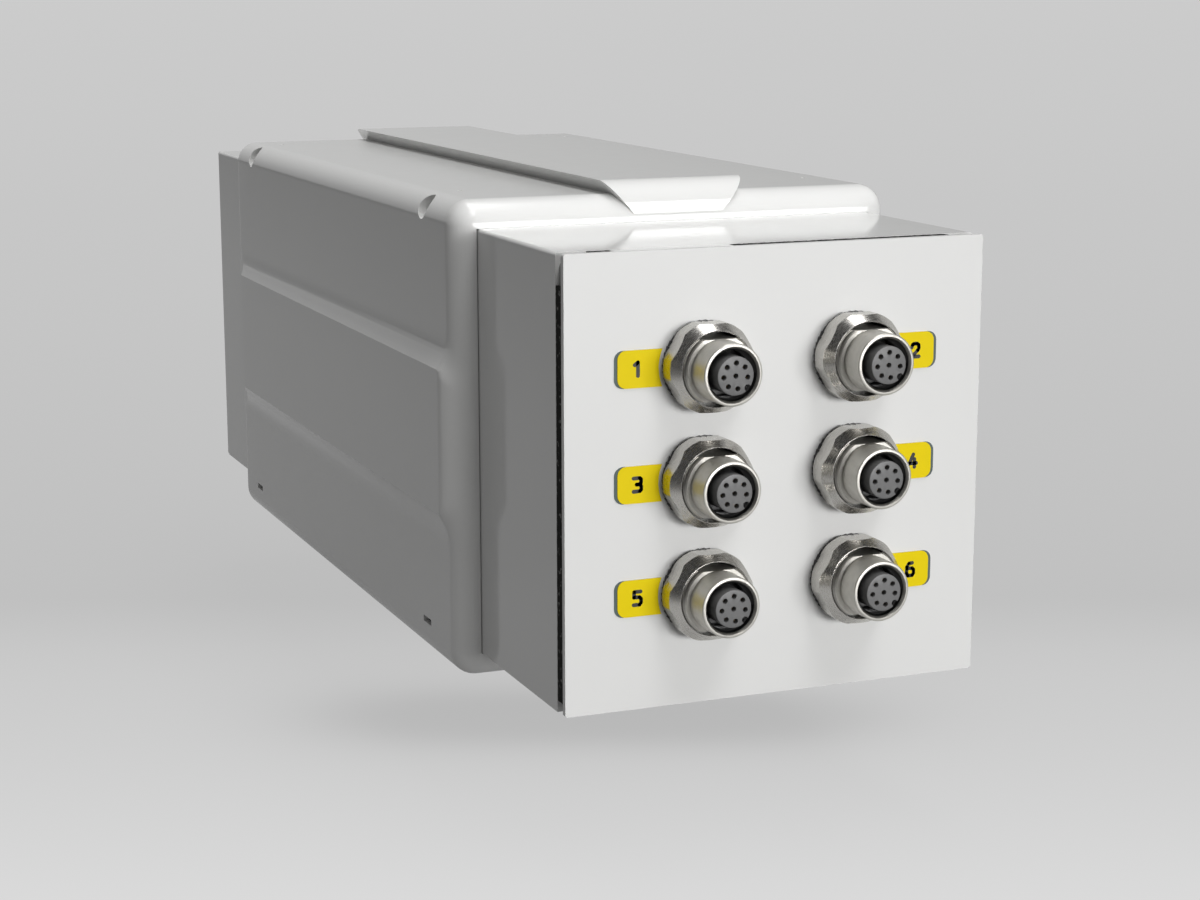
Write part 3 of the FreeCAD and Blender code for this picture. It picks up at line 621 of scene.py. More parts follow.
def joined(name: str, pieces: Sequence[bpy.types.Object]) -> bpy.types.Object:
    """Joins several pieces into one object, with each one's materials kept.

    Args:
        name: the new name.
        pieces: the objects.

    Returns:
        The first object, which now holds them all.
    """
    with bpy.context.temp_override(active_object=pieces[0], selected_editable_objects=list(pieces)):
        bpy.ops.object.join()
    pieces[0].name = name
    pieces[0].data.name = name
    return pieces[0]


def copy_at(piece: bpy.types.Object, name: str, place: Vector) -> bpy.types.Object:
    """A copy of a piece whose place, in metres, goes into its mesh."""
    twin = bpy.data.objects.new(name, piece.data.copy())
    twin.data.name = name
    twin.data.transform(Matrix.Translation(place))
    bpy.context.collection.objects.link(twin)
    return twin


def rounded_box(
    x0: float, x1: float, z0: float, z1: float, radii: Sequence[float], steps: int = 6,
) -> list[Point]:
    """An upright rectangle whose corners have their own radii.

    Args:
        x0: left side in millimetres.
        x1: right side.
        z0: lower side.
        z1: upper side.
        radii: corner radii, from the upper right one anticlockwise.
        steps: points in a rounded corner.

    Returns:
        The outline's points.
    """
    corners = [(x1, z1, -1, -1, 0), (x0, z1, 1, -1, 90), (x0, z0, 1, 1, 180), (x1, z0, -1, 1, 270)]
    points = []
    for (x, z, sx, sz, start), radius in zip(corners, radii):
        if radius == 0:
            points.append((x, z))
            continue
        for k in range(steps + 1):
            turn = math.radians(start + 90 * k / steps)
            across = x + sx * radius + radius * math.cos(turn)
            points.append((across, z + sz * radius + radius * math.sin(turn)))
    return points


def rectangle(x0: float, x1: float, z0: float, z1: float) -> list[Point]:
    """The corners of an upright rectangle, in millimetres."""
    return [(x0, z0), (x1, z0), (x1, z1), (x0, z1)]


# Geometry Nodes


class Tree(Nodes):
    """A Geometry Nodes tree with named inputs, which ends in Realize Instances and Set Material."""

    def __init__(self, name: str, inputs: dict[str, tuple[str, object]]) -> None:
        """Starts the tree.

        Args:
            name: its name.
            inputs: input names with their socket types and defaults.
        """
        super().__init__(bpy.data.node_groups.new(name, "GeometryNodeTree"))
        self.tree.interface.new_socket("Geometry", in_out="OUTPUT", socket_type="NodeSocketGeometry")
        self.keys = {}
        for label, (kind, value) in inputs.items():
            socket = self.tree.interface.new_socket(label, in_out="INPUT", socket_type="NodeSocket" + kind)
            if value is not None:
                socket.default_value = value
            self.keys[label] = socket.identifier
        self.source = self.tree.nodes.new("NodeGroupInput")
        self.sink = self.tree.nodes.new("NodeGroupOutput")

    def given(self, label: str) -> bpy.types.NodeSocket:
        """The socket of a named input."""
        return self.source.outputs[label]

    def close(self, geometry: bpy.types.NodeSocket) -> None:
        """Ends the tree on a geometry.

        Args:
            geometry: what the tree makes.
        """
        real = self.make("GeometryNodeRealizeInstances", Geometry=geometry)
        dressed = self.make(
            "GeometryNodeSetMaterial", Geometry=real.outputs[0], Material=self.given("Material"),
        )
        self.tree.links.new(dressed.outputs[0], self.sink.inputs[0])

    def grow(self, name: str, **values: object) -> bpy.types.Object:
        """Makes a piece with this tree and turns it into a plain mesh.

        Args:
            name: the piece's name.
            values: inputs, with spaces written as underscores.

        Returns:
            The new object.
        """
        piece = bpy.data.objects.new(name, bpy.data.meshes.new(name))
        bpy.context.collection.objects.link(piece)
        modifier = piece.modifiers.new("grow", "NODES")
        modifier.node_group = self.tree
        for key, value in values.items():
            modifier[self.keys[key.replace("_", " ")]] = value
        settle(piece)
        if not piece.data.materials:
            piece.data.materials.append(values["Material"])
        return piece


def thread_tree() -> Tree:
    """A screw thread about the Y axis: a ridge that winds along a helix."""
    tree = Tree("thread", {
        "Radius": ("Float", 0.008), "Pitch": ("Float", 0.001), "Turns": ("Float", 3.0),
        "Height": ("Float", 0.0004), "Start": ("Float", 0.0), "Material": ("Material", None),
    })
    height = tree.maths("MULTIPLY", tree.given("Pitch"), tree.given("Turns"))
    helix = tree.make(
        "GeometryNodeCurveSpiral", Resolution=64, Rotations=tree.given("Turns"),
        Start_Radius=tree.given("Radius"), End_Radius=tree.given("Radius"), Height=height,
    )
    section = tree.make(
        "GeometryNodeCurvePrimitiveCircle", {"mode": "RADIUS"}, Resolution=4, Radius=tree.given("Height"),
    )
    ridge = tree.make("GeometryNodeCurveToMesh", Curve=helix.outputs[0], Profile_Curve=section.outputs[0])
    ridge.inputs["Fill Caps"].default_value = True
    offset = tree.make("ShaderNodeCombineXYZ", Y=tree.given("Start"))
    laid = tree.make(
        "GeometryNodeTransform", Geometry=ridge.outputs[0], Rotation=(math.radians(-90), 0, 0),
        Translation=offset.outputs[0],
    )
    tree.close(laid.outputs[0])
    return tree


def wreath_tree() -> Tree:
    """Copies of one shape set in a ring about the Y axis, all facing outwards."""
    tree = Tree("wreath", {
        "Shape": ("Object", None), "Count": ("Int", 12), "First": ("Float", 0.0), "Step": ("Float", 0.5),
        "Material": ("Material", None),
    })
    points = tree.make("GeometryNodeMeshLine", Count=tree.given("Count"), Offset=(0, 0, 0))
    index = tree.make("GeometryNodeInputIndex")
    turn = tree.maths("MULTIPLY", index.outputs[0], tree.given("Step"))
    turn = tree.maths("ADD", turn, tree.given("First"))
    turned = tree.make("ShaderNodeCombineXYZ", Y=tree.maths("MULTIPLY", turn, -1.0))
    shape = tree.make("GeometryNodeObjectInfo", Object=tree.given("Shape"))
    copies = tree.make(
        "GeometryNodeInstanceOnPoints", Points=points.outputs[0], Instance=shape.outputs["Geometry"],
        Rotation=turned.outputs[0],
    )
    tree.close(copies.outputs[0])
    return tree


def scatter_tree() -> Tree:
    """Copies of one shape set on the corners of a mesh that only marks their places."""
    tree = Tree("scatter", {
        "Shape": ("Object", None), "Places": ("Object", None), "Material": ("Material", None),
    })
    places = tree.make("GeometryNodeObjectInfo", Object=tree.given("Places"))
    shape = tree.make("GeometryNodeObjectInfo", Object=tree.given("Shape"))
    copies = tree.make(
        "GeometryNodeInstanceOnPoints", Points=places.outputs["Geometry"], Instance=shape.outputs["Geometry"],
    )
    tree.close(copies.outputs[0])
    return tree


class Growers:
    """The trees that make repeated shapes, built once."""

    def __init__(self) -> None:
        """Builds the trees."""
        self.thread = thread_tree()
        self.wreath = wreath_tree()
        self.scatter = scatter_tree()

    def ring(
        self, name: str, shape: bpy.types.Object, angles: Sequence[float], material: bpy.types.Material,
    ) -> bpy.types.Object:
        """Copies a shape round the Y axis.

        Args:
            name: the result's name.
            shape: the shape, in its place at angle 0, which is removed.
            angles: evenly spaced turns in degrees.
            material: the material of all copies.

        Returns:
            The new object.
        """
        step = math.radians(angles[1] - angles[0]) if len(angles) > 1 else 0.0
        piece = self.wreath.grow(
            name, Shape=shape, Count=len(angles), First=math.radians(angles[0]), Step=step, Material=material,
        )
        bpy.data.objects.remove(shape, do_unlink=True)
        return piece

    def spread(
        self, name: str, shape: bpy.types.Object, places: Sequence[Vector], material: bpy.types.Material,
    ) -> bpy.types.Object:
        """Copies a shape to several places.

        Args:
            name: the result's name.
            shape: the shape, built at the origin, which is removed.
            places: the places in metres.
            material: the material of all copies.

        Returns:
            The new object.
        """
        marks = bpy.data.objects.new("marks", bpy.data.meshes.new("marks"))
        marks.data.from_pydata([tuple(place) for place in places], [], [])
        bpy.context.collection.objects.link(marks)
        piece = self.scatter.grow(name, Shape=shape, Places=marks, Material=material)
        for spare in (shape, marks):
            bpy.data.objects.remove(spare, do_unlink=True)
        return piece


# The unit's places


@dataclass
class Places:
    """Where things are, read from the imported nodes, in millimetres."""

    columns: int = 2
    rows: int = 3

    def __post_init__(self) -> None:
        """Reads the sockets' axes and the plate's face."""
        self.plate_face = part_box("front_plate")[0][1] / MM
        self.sockets = []
        for number in range(1, self.columns * self.rows + 1):
            low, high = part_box(f"socket_{number}_shell")
            middle = [(a + b) / 2 / MM for a, b in zip(low, high)]
            self.sockets.append((number, middle[0], middle[2]))


def hand_in(piece: bpy.types.Object, body: Body, slot: Slot, *nodes: str) -> None:
    """Puts a finished piece on its body, in place of the nodes it stands for.

    Args:
        piece: the object.
        body: the body it rides on.
        slot: the record's slot; not used.
        nodes: the nodes it replaces.
    """
    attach(piece, body.value)
    if nodes:
        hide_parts(*nodes)
    LOG.info("%s on %s", piece.name, body.value)


@dataclass
class Skin:
    """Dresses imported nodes: a merged, smoothed copy of each stands for it."""

    palette: Palette
    nodes: dict[str, bpy.types.Object]

    def over(
        self, node: str, material: bpy.types.Material, body: Body, slot: Slot,
        degrees: float = 32.0, bevel: float = 0.0,
    ) -> None:
        """Covers one node with a smoothed copy of itself.

        Args:
            node: the node's name.
            material: its material.
            body: the body it rides on.
            slot: the record's slot.
            degrees: the angle from which an edge stays hard.
            bevel: the width of a small bevel, in metres.
        """
        hand_in(soften(self.copy(node, material), degrees, bevel), body, slot, node)

    def copy(self, node: str, material: bpy.types.Material) -> bpy.types.Object:
        """A copy of a node in its own material."""
        twin = copy_at(self.nodes[node], f"{node}_skin", Vector((0, 0, 0)))
        twin.data.materials.clear()
        twin.data.materials.append(material)
        return twin

    def plain(self, node: str, material: bpy.types.Material) -> None:
        """Gives a node that stays as it is its own material."""
        mesh = self.nodes[node].data
        mesh.materials.clear()
        mesh.materials.append(material)


@dataclass
class Sockets:
    """Six round sockets, each a nut, a toothed washer, a shell, an insert and eight contacts."""

    palette: Palette
    growers: Growers
    places: Places
    nut_width: float = 19.0
    nut_round: float = 10.0
    nut_rear: float = -1.0
    nut_front: float = -7.4
    nut_cone: float = 2.3
    nut_nose: float = 8.3
    thread_radius: float = 8.0
    thread_reach: float = 8.6
    flat_half: float = 6.6
    tube_radius: float = 6.7
    rim_reach: float = 15.3
    bore_radius: float = 5.6
    mouth_radius: float = 5.95
    insert_radius: float = 4.15
    insert_reach: float = 16.3
    ring_reach: float = 7.0
    contact_circle: float = 2.75
    contact_hole: float = 0.46
    contact_sink: float = 1.3
    key_angle: float = -44.0
    key_radius: float = 0.75
    contact_step: float = 48.0
    contact_count: int = 7
    washer_radius: float = 9.7
    washer_teeth: int = 44
    flange_radius: float = 9.8
    rear_radius: float = 7.4
    seat: float = 2.5
    tail: float = 12.0

    def nut(self) -> bpy.types.Object:
        """The hexagon nut, whose front is turned to a long cone."""
        hole = self.thread_radius + 0.08
        front, rear, wide, nose = self.nut_front, self.nut_rear, self.nut_round, self.nut_nose
        metal = self.palette.nickel
        cone = lathe("nut", [
            (hole, rear), (wide - 0.25, rear), (wide, rear - 0.25), (wide, front + self.nut_cone),
            (wide - 0.12, front + self.nut_cone - 0.2), (nose + 0.07, front + 0.14), (nose, front + 0.03),
            (nose - 0.09, front), (hole + 0.12, front), (hole, front + 0.14),
        ], metal, 160)
        reach = self.nut_width / 2 / math.cos(math.radians(30))
        turns = [math.radians(a) for a in range(0, 360, 60)]
        corners = [(reach * math.cos(turn), reach * math.sin(turn)) for turn in turns]
        hexagon = prism("hexagon", corners, front - 1, rear + 1, metal)
        return soften(carve(cone, [hexagon], "INTERSECT"), 16.0)

    def washer(self) -> bpy.types.Object:
        """The black washer with its ring of fine saw teeth."""
        black = self.palette.black
        inner = self.thread_radius + 0.05
        base = self.washer_radius - 0.2
        disc = lathe("washer", [(inner, -1.0), (base, -1.0), (base, 0), (inner, 0)], black, 96)
        half = math.pi * self.washer_radius / self.washer_teeth
        tooth = prism(
            "tooth",
            [(base - 0.2, -half), (self.washer_radius, -half * 0.7), (base, half), (base - 0.2, half)],
            -0.98, -0.02, black,
        )
        step = 360 / self.washer_teeth
        teeth = self.growers.ring("teeth", tooth, [k * step for k in range(self.washer_teeth)], black)
        return soften(joined("washer", [disc, teeth]))

    def shell(self) -> bpy.types.Object:
        """The shell: threaded body with two flats, a smooth tube and a bore."""
        seat, rim, reach = self.seat, -self.rim_reach, -self.thread_reach
        outer, body, flange, rear = self.tube_radius, self.thread_radius, self.flange_radius, self.rear_radius
        metal = self.palette.tube
        shell = lathe("shell", [
            (self.mouth_radius, rim + 0.08), (self.mouth_radius + 0.1, rim), (outer - 0.32, rim),
            (outer - 0.12, rim + 0.08), (outer, rim + 0.3), (outer, reach - 0.22),
            (outer - 0.12, reach - 0.16),
            (outer - 0.12, reach - 0.04), (outer, reach), (body - 0.5, reach), (body - 0.2, reach + 0.35),
            (body - 0.2, seat), (flange, seat), (flange, seat + 2.5), (rear, seat + 2.5), (rear, self.tail),
            (self.bore_radius, self.tail), (self.bore_radius, rim + 0.6),
        ], metal, 144)
        wide, flat = body + 1, self.flat_half
        caps = [
            prism("cap", [(-wide, s * flat), (wide, s * flat), (wide, s * wide), (-wide, s * wide)],
                  reach - 0.02, seat, metal)
            for s in (-1, 1)
        ]
        return soften(carve(shell, caps), 28.0)

    def body_thread(self) -> bpy.types.Object:
        """The fine thread that shows where the shell's body leaves the nut, in nickel darkened as painted
        shade between its ridges.
        """
        ridge = self.growers.thread.grow(
            "body_thread", Radius=(self.thread_radius - 0.2) * MM, Pitch=0.0005, Turns=3.4, Height=0.00017,
            Start=(-self.thread_reach + 0.2) * MM, Material=self.palette.thread,
        )
        wide = self.thread_radius + 1
        between = rectangle(-wide, wide, -self.flat_half, self.flat_half)
        slab = prism("slab", between, -self.thread_reach - 1, 0, self.palette.tube)
        return soften(carve(ridge, [slab], "INTERSECT"), 40.0)

    def bore(self) -> bpy.types.Object:
        """The lining of the bore and its coupling thread, nickel painted near black for the shade inside the
        bore.
        """
        rim, end = -self.rim_reach, -self.ring_reach
        radius, mouth = self.bore_radius, self.mouth_radius - 0.03
        lining = lathe("bore", [
            (radius - 0.12, end), (radius - 0.12, rim + 0.8), (radius + 0.1, rim + 0.45), (mouth, rim + 0.2),
            (mouth, rim + 0.5), (radius - 0.01, rim + 0.9), (radius - 0.01, end),
        ], self.palette.bore, 128)
        thread = self.growers.thread.grow(
            "bore_thread", Radius=(self.bore_radius - 0.12) * MM, Pitch=0.001, Turns=6.2, Height=0.0003,
            Start=(rim + 1.1) * MM, Material=self.palette.bore,
        )
        return soften(joined("bore", [lining, thread]), 40.0)

    def contact_angles(self) -> list[float]:
        """The angles of the outer contacts in degrees."""
        first = self.key_angle + (360 - (self.contact_count - 1) * self.contact_step) / 2
        return [first + k * self.contact_step for k in range(self.contact_count)]

    def at_contacts(
        self, name: str, shape: bpy.types.Object, material: bpy.types.Material,
    ) -> bpy.types.Object:
        """Copies a shape that stands on the axis to the middle and to the ring of contacts."""
        middle = copy_at(shape, f"middle_{name}", Vector((0, 0, 0)))
        shape.data.transform(Matrix.Translation((self.contact_circle * MM, 0, 0)))
        ring = self.growers.ring(f"ring_{name}", shape, self.contact_angles(), material)
        return joined(name, [ring, middle])

    def insert(self) -> bpy.types.Object:
        """The insulating insert with its holes and its key notch."""
        front, edge, grey = -self.insert_reach, self.insert_radius, self.palette.insert
        wide = self.bore_radius - 0.14
        body = lathe("insert", [
            (0, front), (edge - 0.3, front), (edge - 0.11, front + 0.05), (edge - 0.03, front + 0.14),
            (edge, front + 0.32), (edge, -self.ring_reach), (wide, -self.ring_reach), (wide, self.tail),
            (0, self.tail),
        ], grey, 112)
        hole = lathe("hole", [
            (0, front - 1), (self.contact_hole + 0.14, front - 1), (self.contact_hole + 0.14, front),
            (self.contact_hole, front + 0.3), (self.contact_hole, self.tail + 1), (0, self.tail + 1),
        ], grey, 20)
        holes = self.at_contacts("holes", hole, grey)
        notch = self.key_radius
        key = lathe("key", [(0, front - 1), (notch, front - 1), (notch, front + 6), (0, front + 6)], grey, 28)
        angle = math.radians(self.key_angle)
        reach = (edge - self.key_radius / 2) * MM
        key.data.transform(Matrix.Translation((reach * math.cos(angle), 0, reach * math.sin(angle))))
        return soften(carve(body, [holes, key]), 28.0)

    def contacts(self) -> bpy.types.Object:
        """Eight tubular contacts, sunk in their holes."""
        front = -self.insert_reach + self.contact_sink
        tube = lathe("contact", [
            (0.27, front + 0.1), (0.33, front), (0.42, front + 0.12), (0.42, self.tail + 2),
            (0, self.tail + 2), (0, front + 4), (0.27, front + 4),
        ], self.palette.contact, 20)
        return soften(self.at_contacts("contacts", tube, self.palette.contact))

    def build(self) -> None:
        """Makes one of each piece and copies it to all six sockets."""
        makers: list[tuple[str, Callable[[], bpy.types.Object], Slot, bool]] = [
            ("nut", self.nut, Slot.NICKEL, True), ("washer", self.washer, Slot.BLACK, True),
            ("shell", self.shell, Slot.NICKEL, True), ("insert", self.insert, Slot.INSERT, True),
            ("contacts", self.contacts, Slot.CONTACT, True), ("bore", self.bore, Slot.NICKEL, False),
            ("body_thread", self.body_thread, Slot.NICKEL, False),
        ]
        for kind, make, slot, stands_for_node in makers:
            model = make()
            for number, x, z in self.places.sockets:
                place = Vector((x, self.places.plate_face, z)) * MM
                piece = copy_at(model, f"socket_{number}_{kind}_piece", place)
                hand_in(piece, Body.UNIT, slot, *([f"socket_{number}_{kind}"] if stands_for_node else []))
            bpy.data.objects.remove(model, do_unlink=True)


@dataclass
class Labels:
    """Six number labels: a dark backing that shows at the outer end, a yellow film and a bold number."""

    palette: Palette
    growers: Growers
    places: Places
    outer: float = 38.7
    edge: float = 0.7
    height: float = 8.15
    corner: float = 2.0
    clear_radius: float = 10.5
    backing: float = 0.12
    film: float = 0.3
    ink: float = 0.32
    number_place: float = 33.4
    number_height: float = 3.75
    number_width: float = 2.65
    stroke: float = 0.86

    def strip(
        self, name: str, side: int, reach: float, y0: float, y1: float,
        material: bpy.types.Material, x: float,
    ) -> bpy.types.Object:
        """One layer of a label at a socket whose axis is at the origin.

        Args:
            name: the layer's name.
            side: -1 for the left column, 1 for the right.
            reach: how far it goes from the unit's middle.
            y0: its front.
            y1: its rear.
            material: its material.
            x: the socket's place across the plate.

        Returns:
            The new object.
        """
        outer = side * reach - x
        low, high = sorted((0.0, outer))
        radii = [self.corner if (side > 0) == (k in (0, 3)) else 0 for k in range(4)]
        outline = rounded_box(low, high, -self.height / 2, self.height / 2, radii)
        strip = prism(name, outline, y0, y1, material)
        clear = self.clear_radius
        room = lathe("room", [(0, y0 - 1), (clear, y0 - 1), (clear, y1 + 1), (0, y1 + 1)], material, 96)
        return carve(strip, [room])

    def digit(self, number: int) -> list[list[Point]]:
        """The strokes of a number in a unit cell, one by one, from -1 to 1 each way."""
        strokes = {
            1: [[(-0.75, 0.62), (0.1, 1), (0.1, -1)]],
            2: [[(-1, 0.45), (-0.85, 0.85), (-0.45, 1), (0.45, 1), (0.9, 0.8), (0.95, 0.4), (0.7, 0.0),
                 (-1, -1), (1, -1)]],
            3: [[(-1, 1), (0.6, 1), (0.95, 0.8), (0.95, 0.3), (0.6, 0.08), (-0.2, 0.05)],
                [(-0.2, 0.05), (0.65, 0.02), (1, -0.25), (1, -0.75), (0.6, -1), (-1, -1)]],
            4: [[(0.15, 1), (-0.95, -0.4), (1, -0.4)], [(0.5, 0.25), (0.5, -1)]],
            5: [[(0.85, 1), (-0.8, 1), (-0.85, 0.15), (0.55, 0.15), (1, -0.1), (1, -0.7), (0.6, -1),
                 (-0.95, -1)]],
            6: [[(0.6, 1), (-0.35, 0.95), (-0.95, 0.4), (-1, -0.6), (-0.6, -1), (0.6, -1), (1, -0.65),
                 (1, -0.15), (0.6, 0.15), (-0.9, 0.15)]],
        }
        return strokes[number]

    def numeral(self, number: int) -> bpy.types.Object:
        """A number drawn with flat strokes, as one thin solid."""
        half_x = (self.number_width - self.stroke) / 2
        half_z = (self.number_height - self.stroke) / 2
        bars = []
        for stroke in self.digit(number):
            points = [Vector((x * half_x, 0, z * half_z)) for x, z in stroke]
            for start, end in zip(points, points[1:]):
                bars.append(self.bar(start, end))
        return joined(f"numeral_{number}", bars)

    def bar(self, start: Vector, end: Vector) -> bpy.types.Object:
        """One straight stretch of a stroke, with round ends.

        Args:
            start: where it starts, in millimetres.
            end: where it ends.

        Returns:
            The new object.
        """
        along = (end - start).normalized()
        lean = math.atan2(along.z, along.x)
        half = self.stroke / 2
        outline = []
        for centre, first in ((end, -90), (start, 90)):
            for k in range(9):
                turn = lean + math.radians(first + 180 * k / 8)
                outline.append((centre.x + half * math.cos(turn), centre.z + half * math.sin(turn)))
        return prism("bar", outline, -self.ink, -self.film + 0.02, self.palette.ink)

    def build(self) -> None:
        """Makes the six labels as one piece."""
        layers = []
        for number, x, z in self.places.sockets:
            side = 1 if x > 0 else -1
            dark = self.palette.label_edge
            layers.append(self.strip("backing", side, self.outer, -self.backing, 0, dark, x))
            reach = self.outer - self.edge
            layers.append(self.strip("film", side, reach, -self.film, -self.backing, self.palette.label, x))
            for layer in layers[-2:]:
                layer.data.transform(Matrix.Translation(Vector((x, self.places.plate_face, z)) * MM))
            numeral = self.numeral(number)
            place = Vector((side * self.number_place, self.places.plate_face, z)) * MM
            numeral.data.transform(Matrix.Translation(place))
            layers.append(numeral)
        labels = joined("number_labels_piece", layers)
        hand_in(labels, Body.UNIT, Slot.LABEL, "number_labels")


@dataclass
class Housing:
    """The box, its end plates, the gap behind the front plate and the sleeve."""

    palette: Palette
    skin: Skin
    round_over: float = 6.0
    panel_rise: float = 2.3
    panel_half: float = 17.2
    panel_run: float = 8.0
    bore_half: float = 50.3
    grid: float = 1.0
    taper: float = 5.0
    lip: float = 1.0
    joint: float = 0.18
    bore_fit: float = 0.1
    near: float = 0.02
    cuts: int = 10

    def panel_height(self, from_middle: float) -> float:
        """How far a side panel stands proud.

        Args:
            from_middle: the height above or below the panel's middle, in millimetres.

        Returns:
            Its rise in millimetres.
        """
        left = self.panel_half + self.panel_run - abs(from_middle)
        if left <= 0:
            return 0.0
        if left >= self.panel_run:
            return self.panel_rise
        radius = (self.panel_run**2 + self.panel_rise**2) / (2 * self.panel_rise)
        return radius - math.sqrt(radius**2 - left**2)

    def sleeve(self) -> None:
        """Dresses the sleeve, whose side panels are faired into its front rounding."""
        piece = self.skin.copy("sleeve", self.palette.sleeve)
        middle = (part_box("front_plate")[0][2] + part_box("front_plate")[1][2]) / 2 / MM
        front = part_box("sleeve")[0][1] / MM
        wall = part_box("sleeve")[1][0] / MM - self.panel_rise
        reach = self.panel_half + self.panel_run
        bore_top = middle + self.bore_half - self.bore_fit
        bm = bmesh.new()
        bm.from_mesh(piece.data)
        bmesh.ops.remove_doubles(bm, verts=bm.verts, dist=WELD)
        turns = [math.radians(90 / self.cuts * k) for k in range(1, self.cuts + 1)]
        steps = [self.round_over * (1 - math.cos(turn)) for turn in turns]
        for step in steps:
            bmesh.ops.bisect_plane(
                bm, geom=bm.verts[:] + bm.edges[:] + bm.faces[:], dist=SNAP,
                plane_co=(0, (front + step) * MM, 0), plane_no=(0, 1, 0),
            )
        rounding_end = (front + self.round_over + self.near / 2) * MM
        for k in range(int(2 * reach / self.grid) + 1):
            faces = [f for f in bm.faces if max(v.co.y for v in f.verts) < rounding_end]
            edges = list({e for f in faces for e in f.edges})
            verts = list({v for f in faces for v in f.verts})
            level = (middle - reach + k * self.grid) * MM
            bmesh.ops.bisect_plane(
                bm, geom=verts + edges + faces, dist=SNAP, plane_co=(0, 0, level), plane_no=(0, 0, 1),
            )
        for vertex in bm.verts:
            x, y, z = (part / MM for part in vertex.co)
            into = y - front
            if into < self.lip and abs(z - bore_top) < self.near:
                vertex.co.z = (bore_top - self.joint) * MM
            off_panel = abs(z - middle) > reach + self.near
            if into >= self.round_over or abs(x) <= self.bore_half or off_panel:
                continue
            rounded = wall - self.round_over + math.sqrt(self.round_over**2 - (self.round_over - into) ** 2)
            left = 1 - into / self.round_over
            rise = self.panel_height(abs(z - middle) + self.taper * left) * (1 - left**2)
            vertex.co.x = math.copysign(max(self.bore_half, rounded + rise), x) * MM
        bmesh.ops.dissolve_degenerate(bm, edges=bm.edges, dist=1e-6)
        bm.to_mesh(piece.data)
        bm.free()
        hand_in(soften(piece, 28.0), Body.UNIT, Slot.SLEEVE, "sleeve")

    def build(self) -> None:
        """Dresses the box and the sleeve."""
        paint = self.palette.paint
        self.sleeve()
        self.skin.over("top_cover", paint, Body.UNIT, Slot.PAINT, 28.0)
        self.skin.over("base_tray", paint, Body.UNIT, Slot.PAINT, 28.0)
        self.skin.over("front_plate", self.palette.plate, Body.UNIT, Slot.PAINT, 28.0, 0.00015)
        self.skin.over("rear_panel", paint, Body.UNIT, Slot.PAINT, 28.0)
        self.skin.over("front_frame", self.palette.frame, Body.UNIT, Slot.FRAME)
        self.skin.over("rear_frame", self.palette.frame, Body.UNIT, Slot.FRAME)
        self.skin.over("socket_gaskets", self.palette.rubber, Body.UNIT, Slot.RUBBER)
        self.skin.over("latch_lugs", self.palette.black, Body.UNIT, Slot.BLACK)


@dataclass
class Gap:
    """The foam strips in the gap behind the front plate, and the cover's tongue that reaches the plate."""

    palette: Palette
    strip: float = 3.2
    inset: float = 0.05
    end: float = 7.0
    foot: float = 2.6
    tongue_left: float = -38.5
    tongue_right: float = -10.0
    tongue_height: float = 0.9
    tongue_gap: float = 0.3
    tongue_short: float = 0.1
    cell: float = 0.6
    torn: float = 0.12
    lumps: float = 0.9

    def foam(self, x0: float, x1: float, z0: float, z1: float, y0: float, y1: float) -> bpy.types.Object:
        """One strip of foam with an uneven cut surface.

        Args:
            x0: left side in millimetres.
            x1: right side.
            z0: lower side.
            z1: upper side.
            y0: front.
            y1: rear.

        Returns:
            The new object.
        """
        piece = prism("foam", rectangle(x0, x1, z0, z1), y0, y1, self.palette.foam)
        bm = bmesh.new()
        bm.from_mesh(piece.data)
        middle = Vector((x0 + x1, y0 + y1, z0 + z1)) / 2 * MM
        long = [edge for edge in bm.edges if edge.calc_length() > 2 * (y1 - y0) * MM]
        cuts = int(max(x1 - x0, z1 - z0) / self.cell)
        bmesh.ops.subdivide_edges(bm, edges=long, cuts=cuts, use_grid_fill=True)
        for vertex in bm.verts:
            pull = noise.noise(vertex.co / MM * self.lumps) * self.torn * MM
            inward = middle - vertex.co
            inward.y = 0
            if max(x1 - x0, z1 - z0) == x1 - x0:
                inward.x = 0
            else:
                inward.z = 0
            vertex.co += inward.normalized() * abs(pull)
        bm.to_mesh(piece.data)
        bm.free()
        return piece

    def build(self) -> None:
        """Lays the strips and the tongue."""
        y0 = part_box("front_plate")[1][1] / MM
        y1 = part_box("top_cover")[0][1] / MM
        low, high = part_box("front_plate")
        left, right, under, top = low[0] / MM, high[0] / MM, low[2] / MM, high[2] / MM
        run = self.end
        deep = self.strip + self.inset
        strips = [
            self.foam(left + self.inset, left + deep, under + self.foot, top - run, y0, y1),
            self.foam(right - deep, right - self.inset, under + self.foot, top - run, y0, y1),
            self.foam(left + run, right - run, under + self.inset, under + deep, y0, y1),
            self.foam(self.tongue_right, right - run, top - deep, top - self.inset, y0, y1),
            self.foam(left + run, self.tongue_left, top - deep, top - self.inset, y0, y1),
        ]
        hand_in(soften(joined("front_seal_piece", strips)), Body.UNIT, Slot.RUBBER, "front_seal")
        corners = rectangle(
            self.tongue_left + self.tongue_gap, self.tongue_right - self.tongue_gap,
            top - self.tongue_height, top,
        )
        tongue = prism("cover_tongue", corners, y0 + self.tongue_short, y1, self.palette.paint)
        hand_in(soften(tongue, 28.0, 0.0001), Body.UNIT, Slot.PAINT)


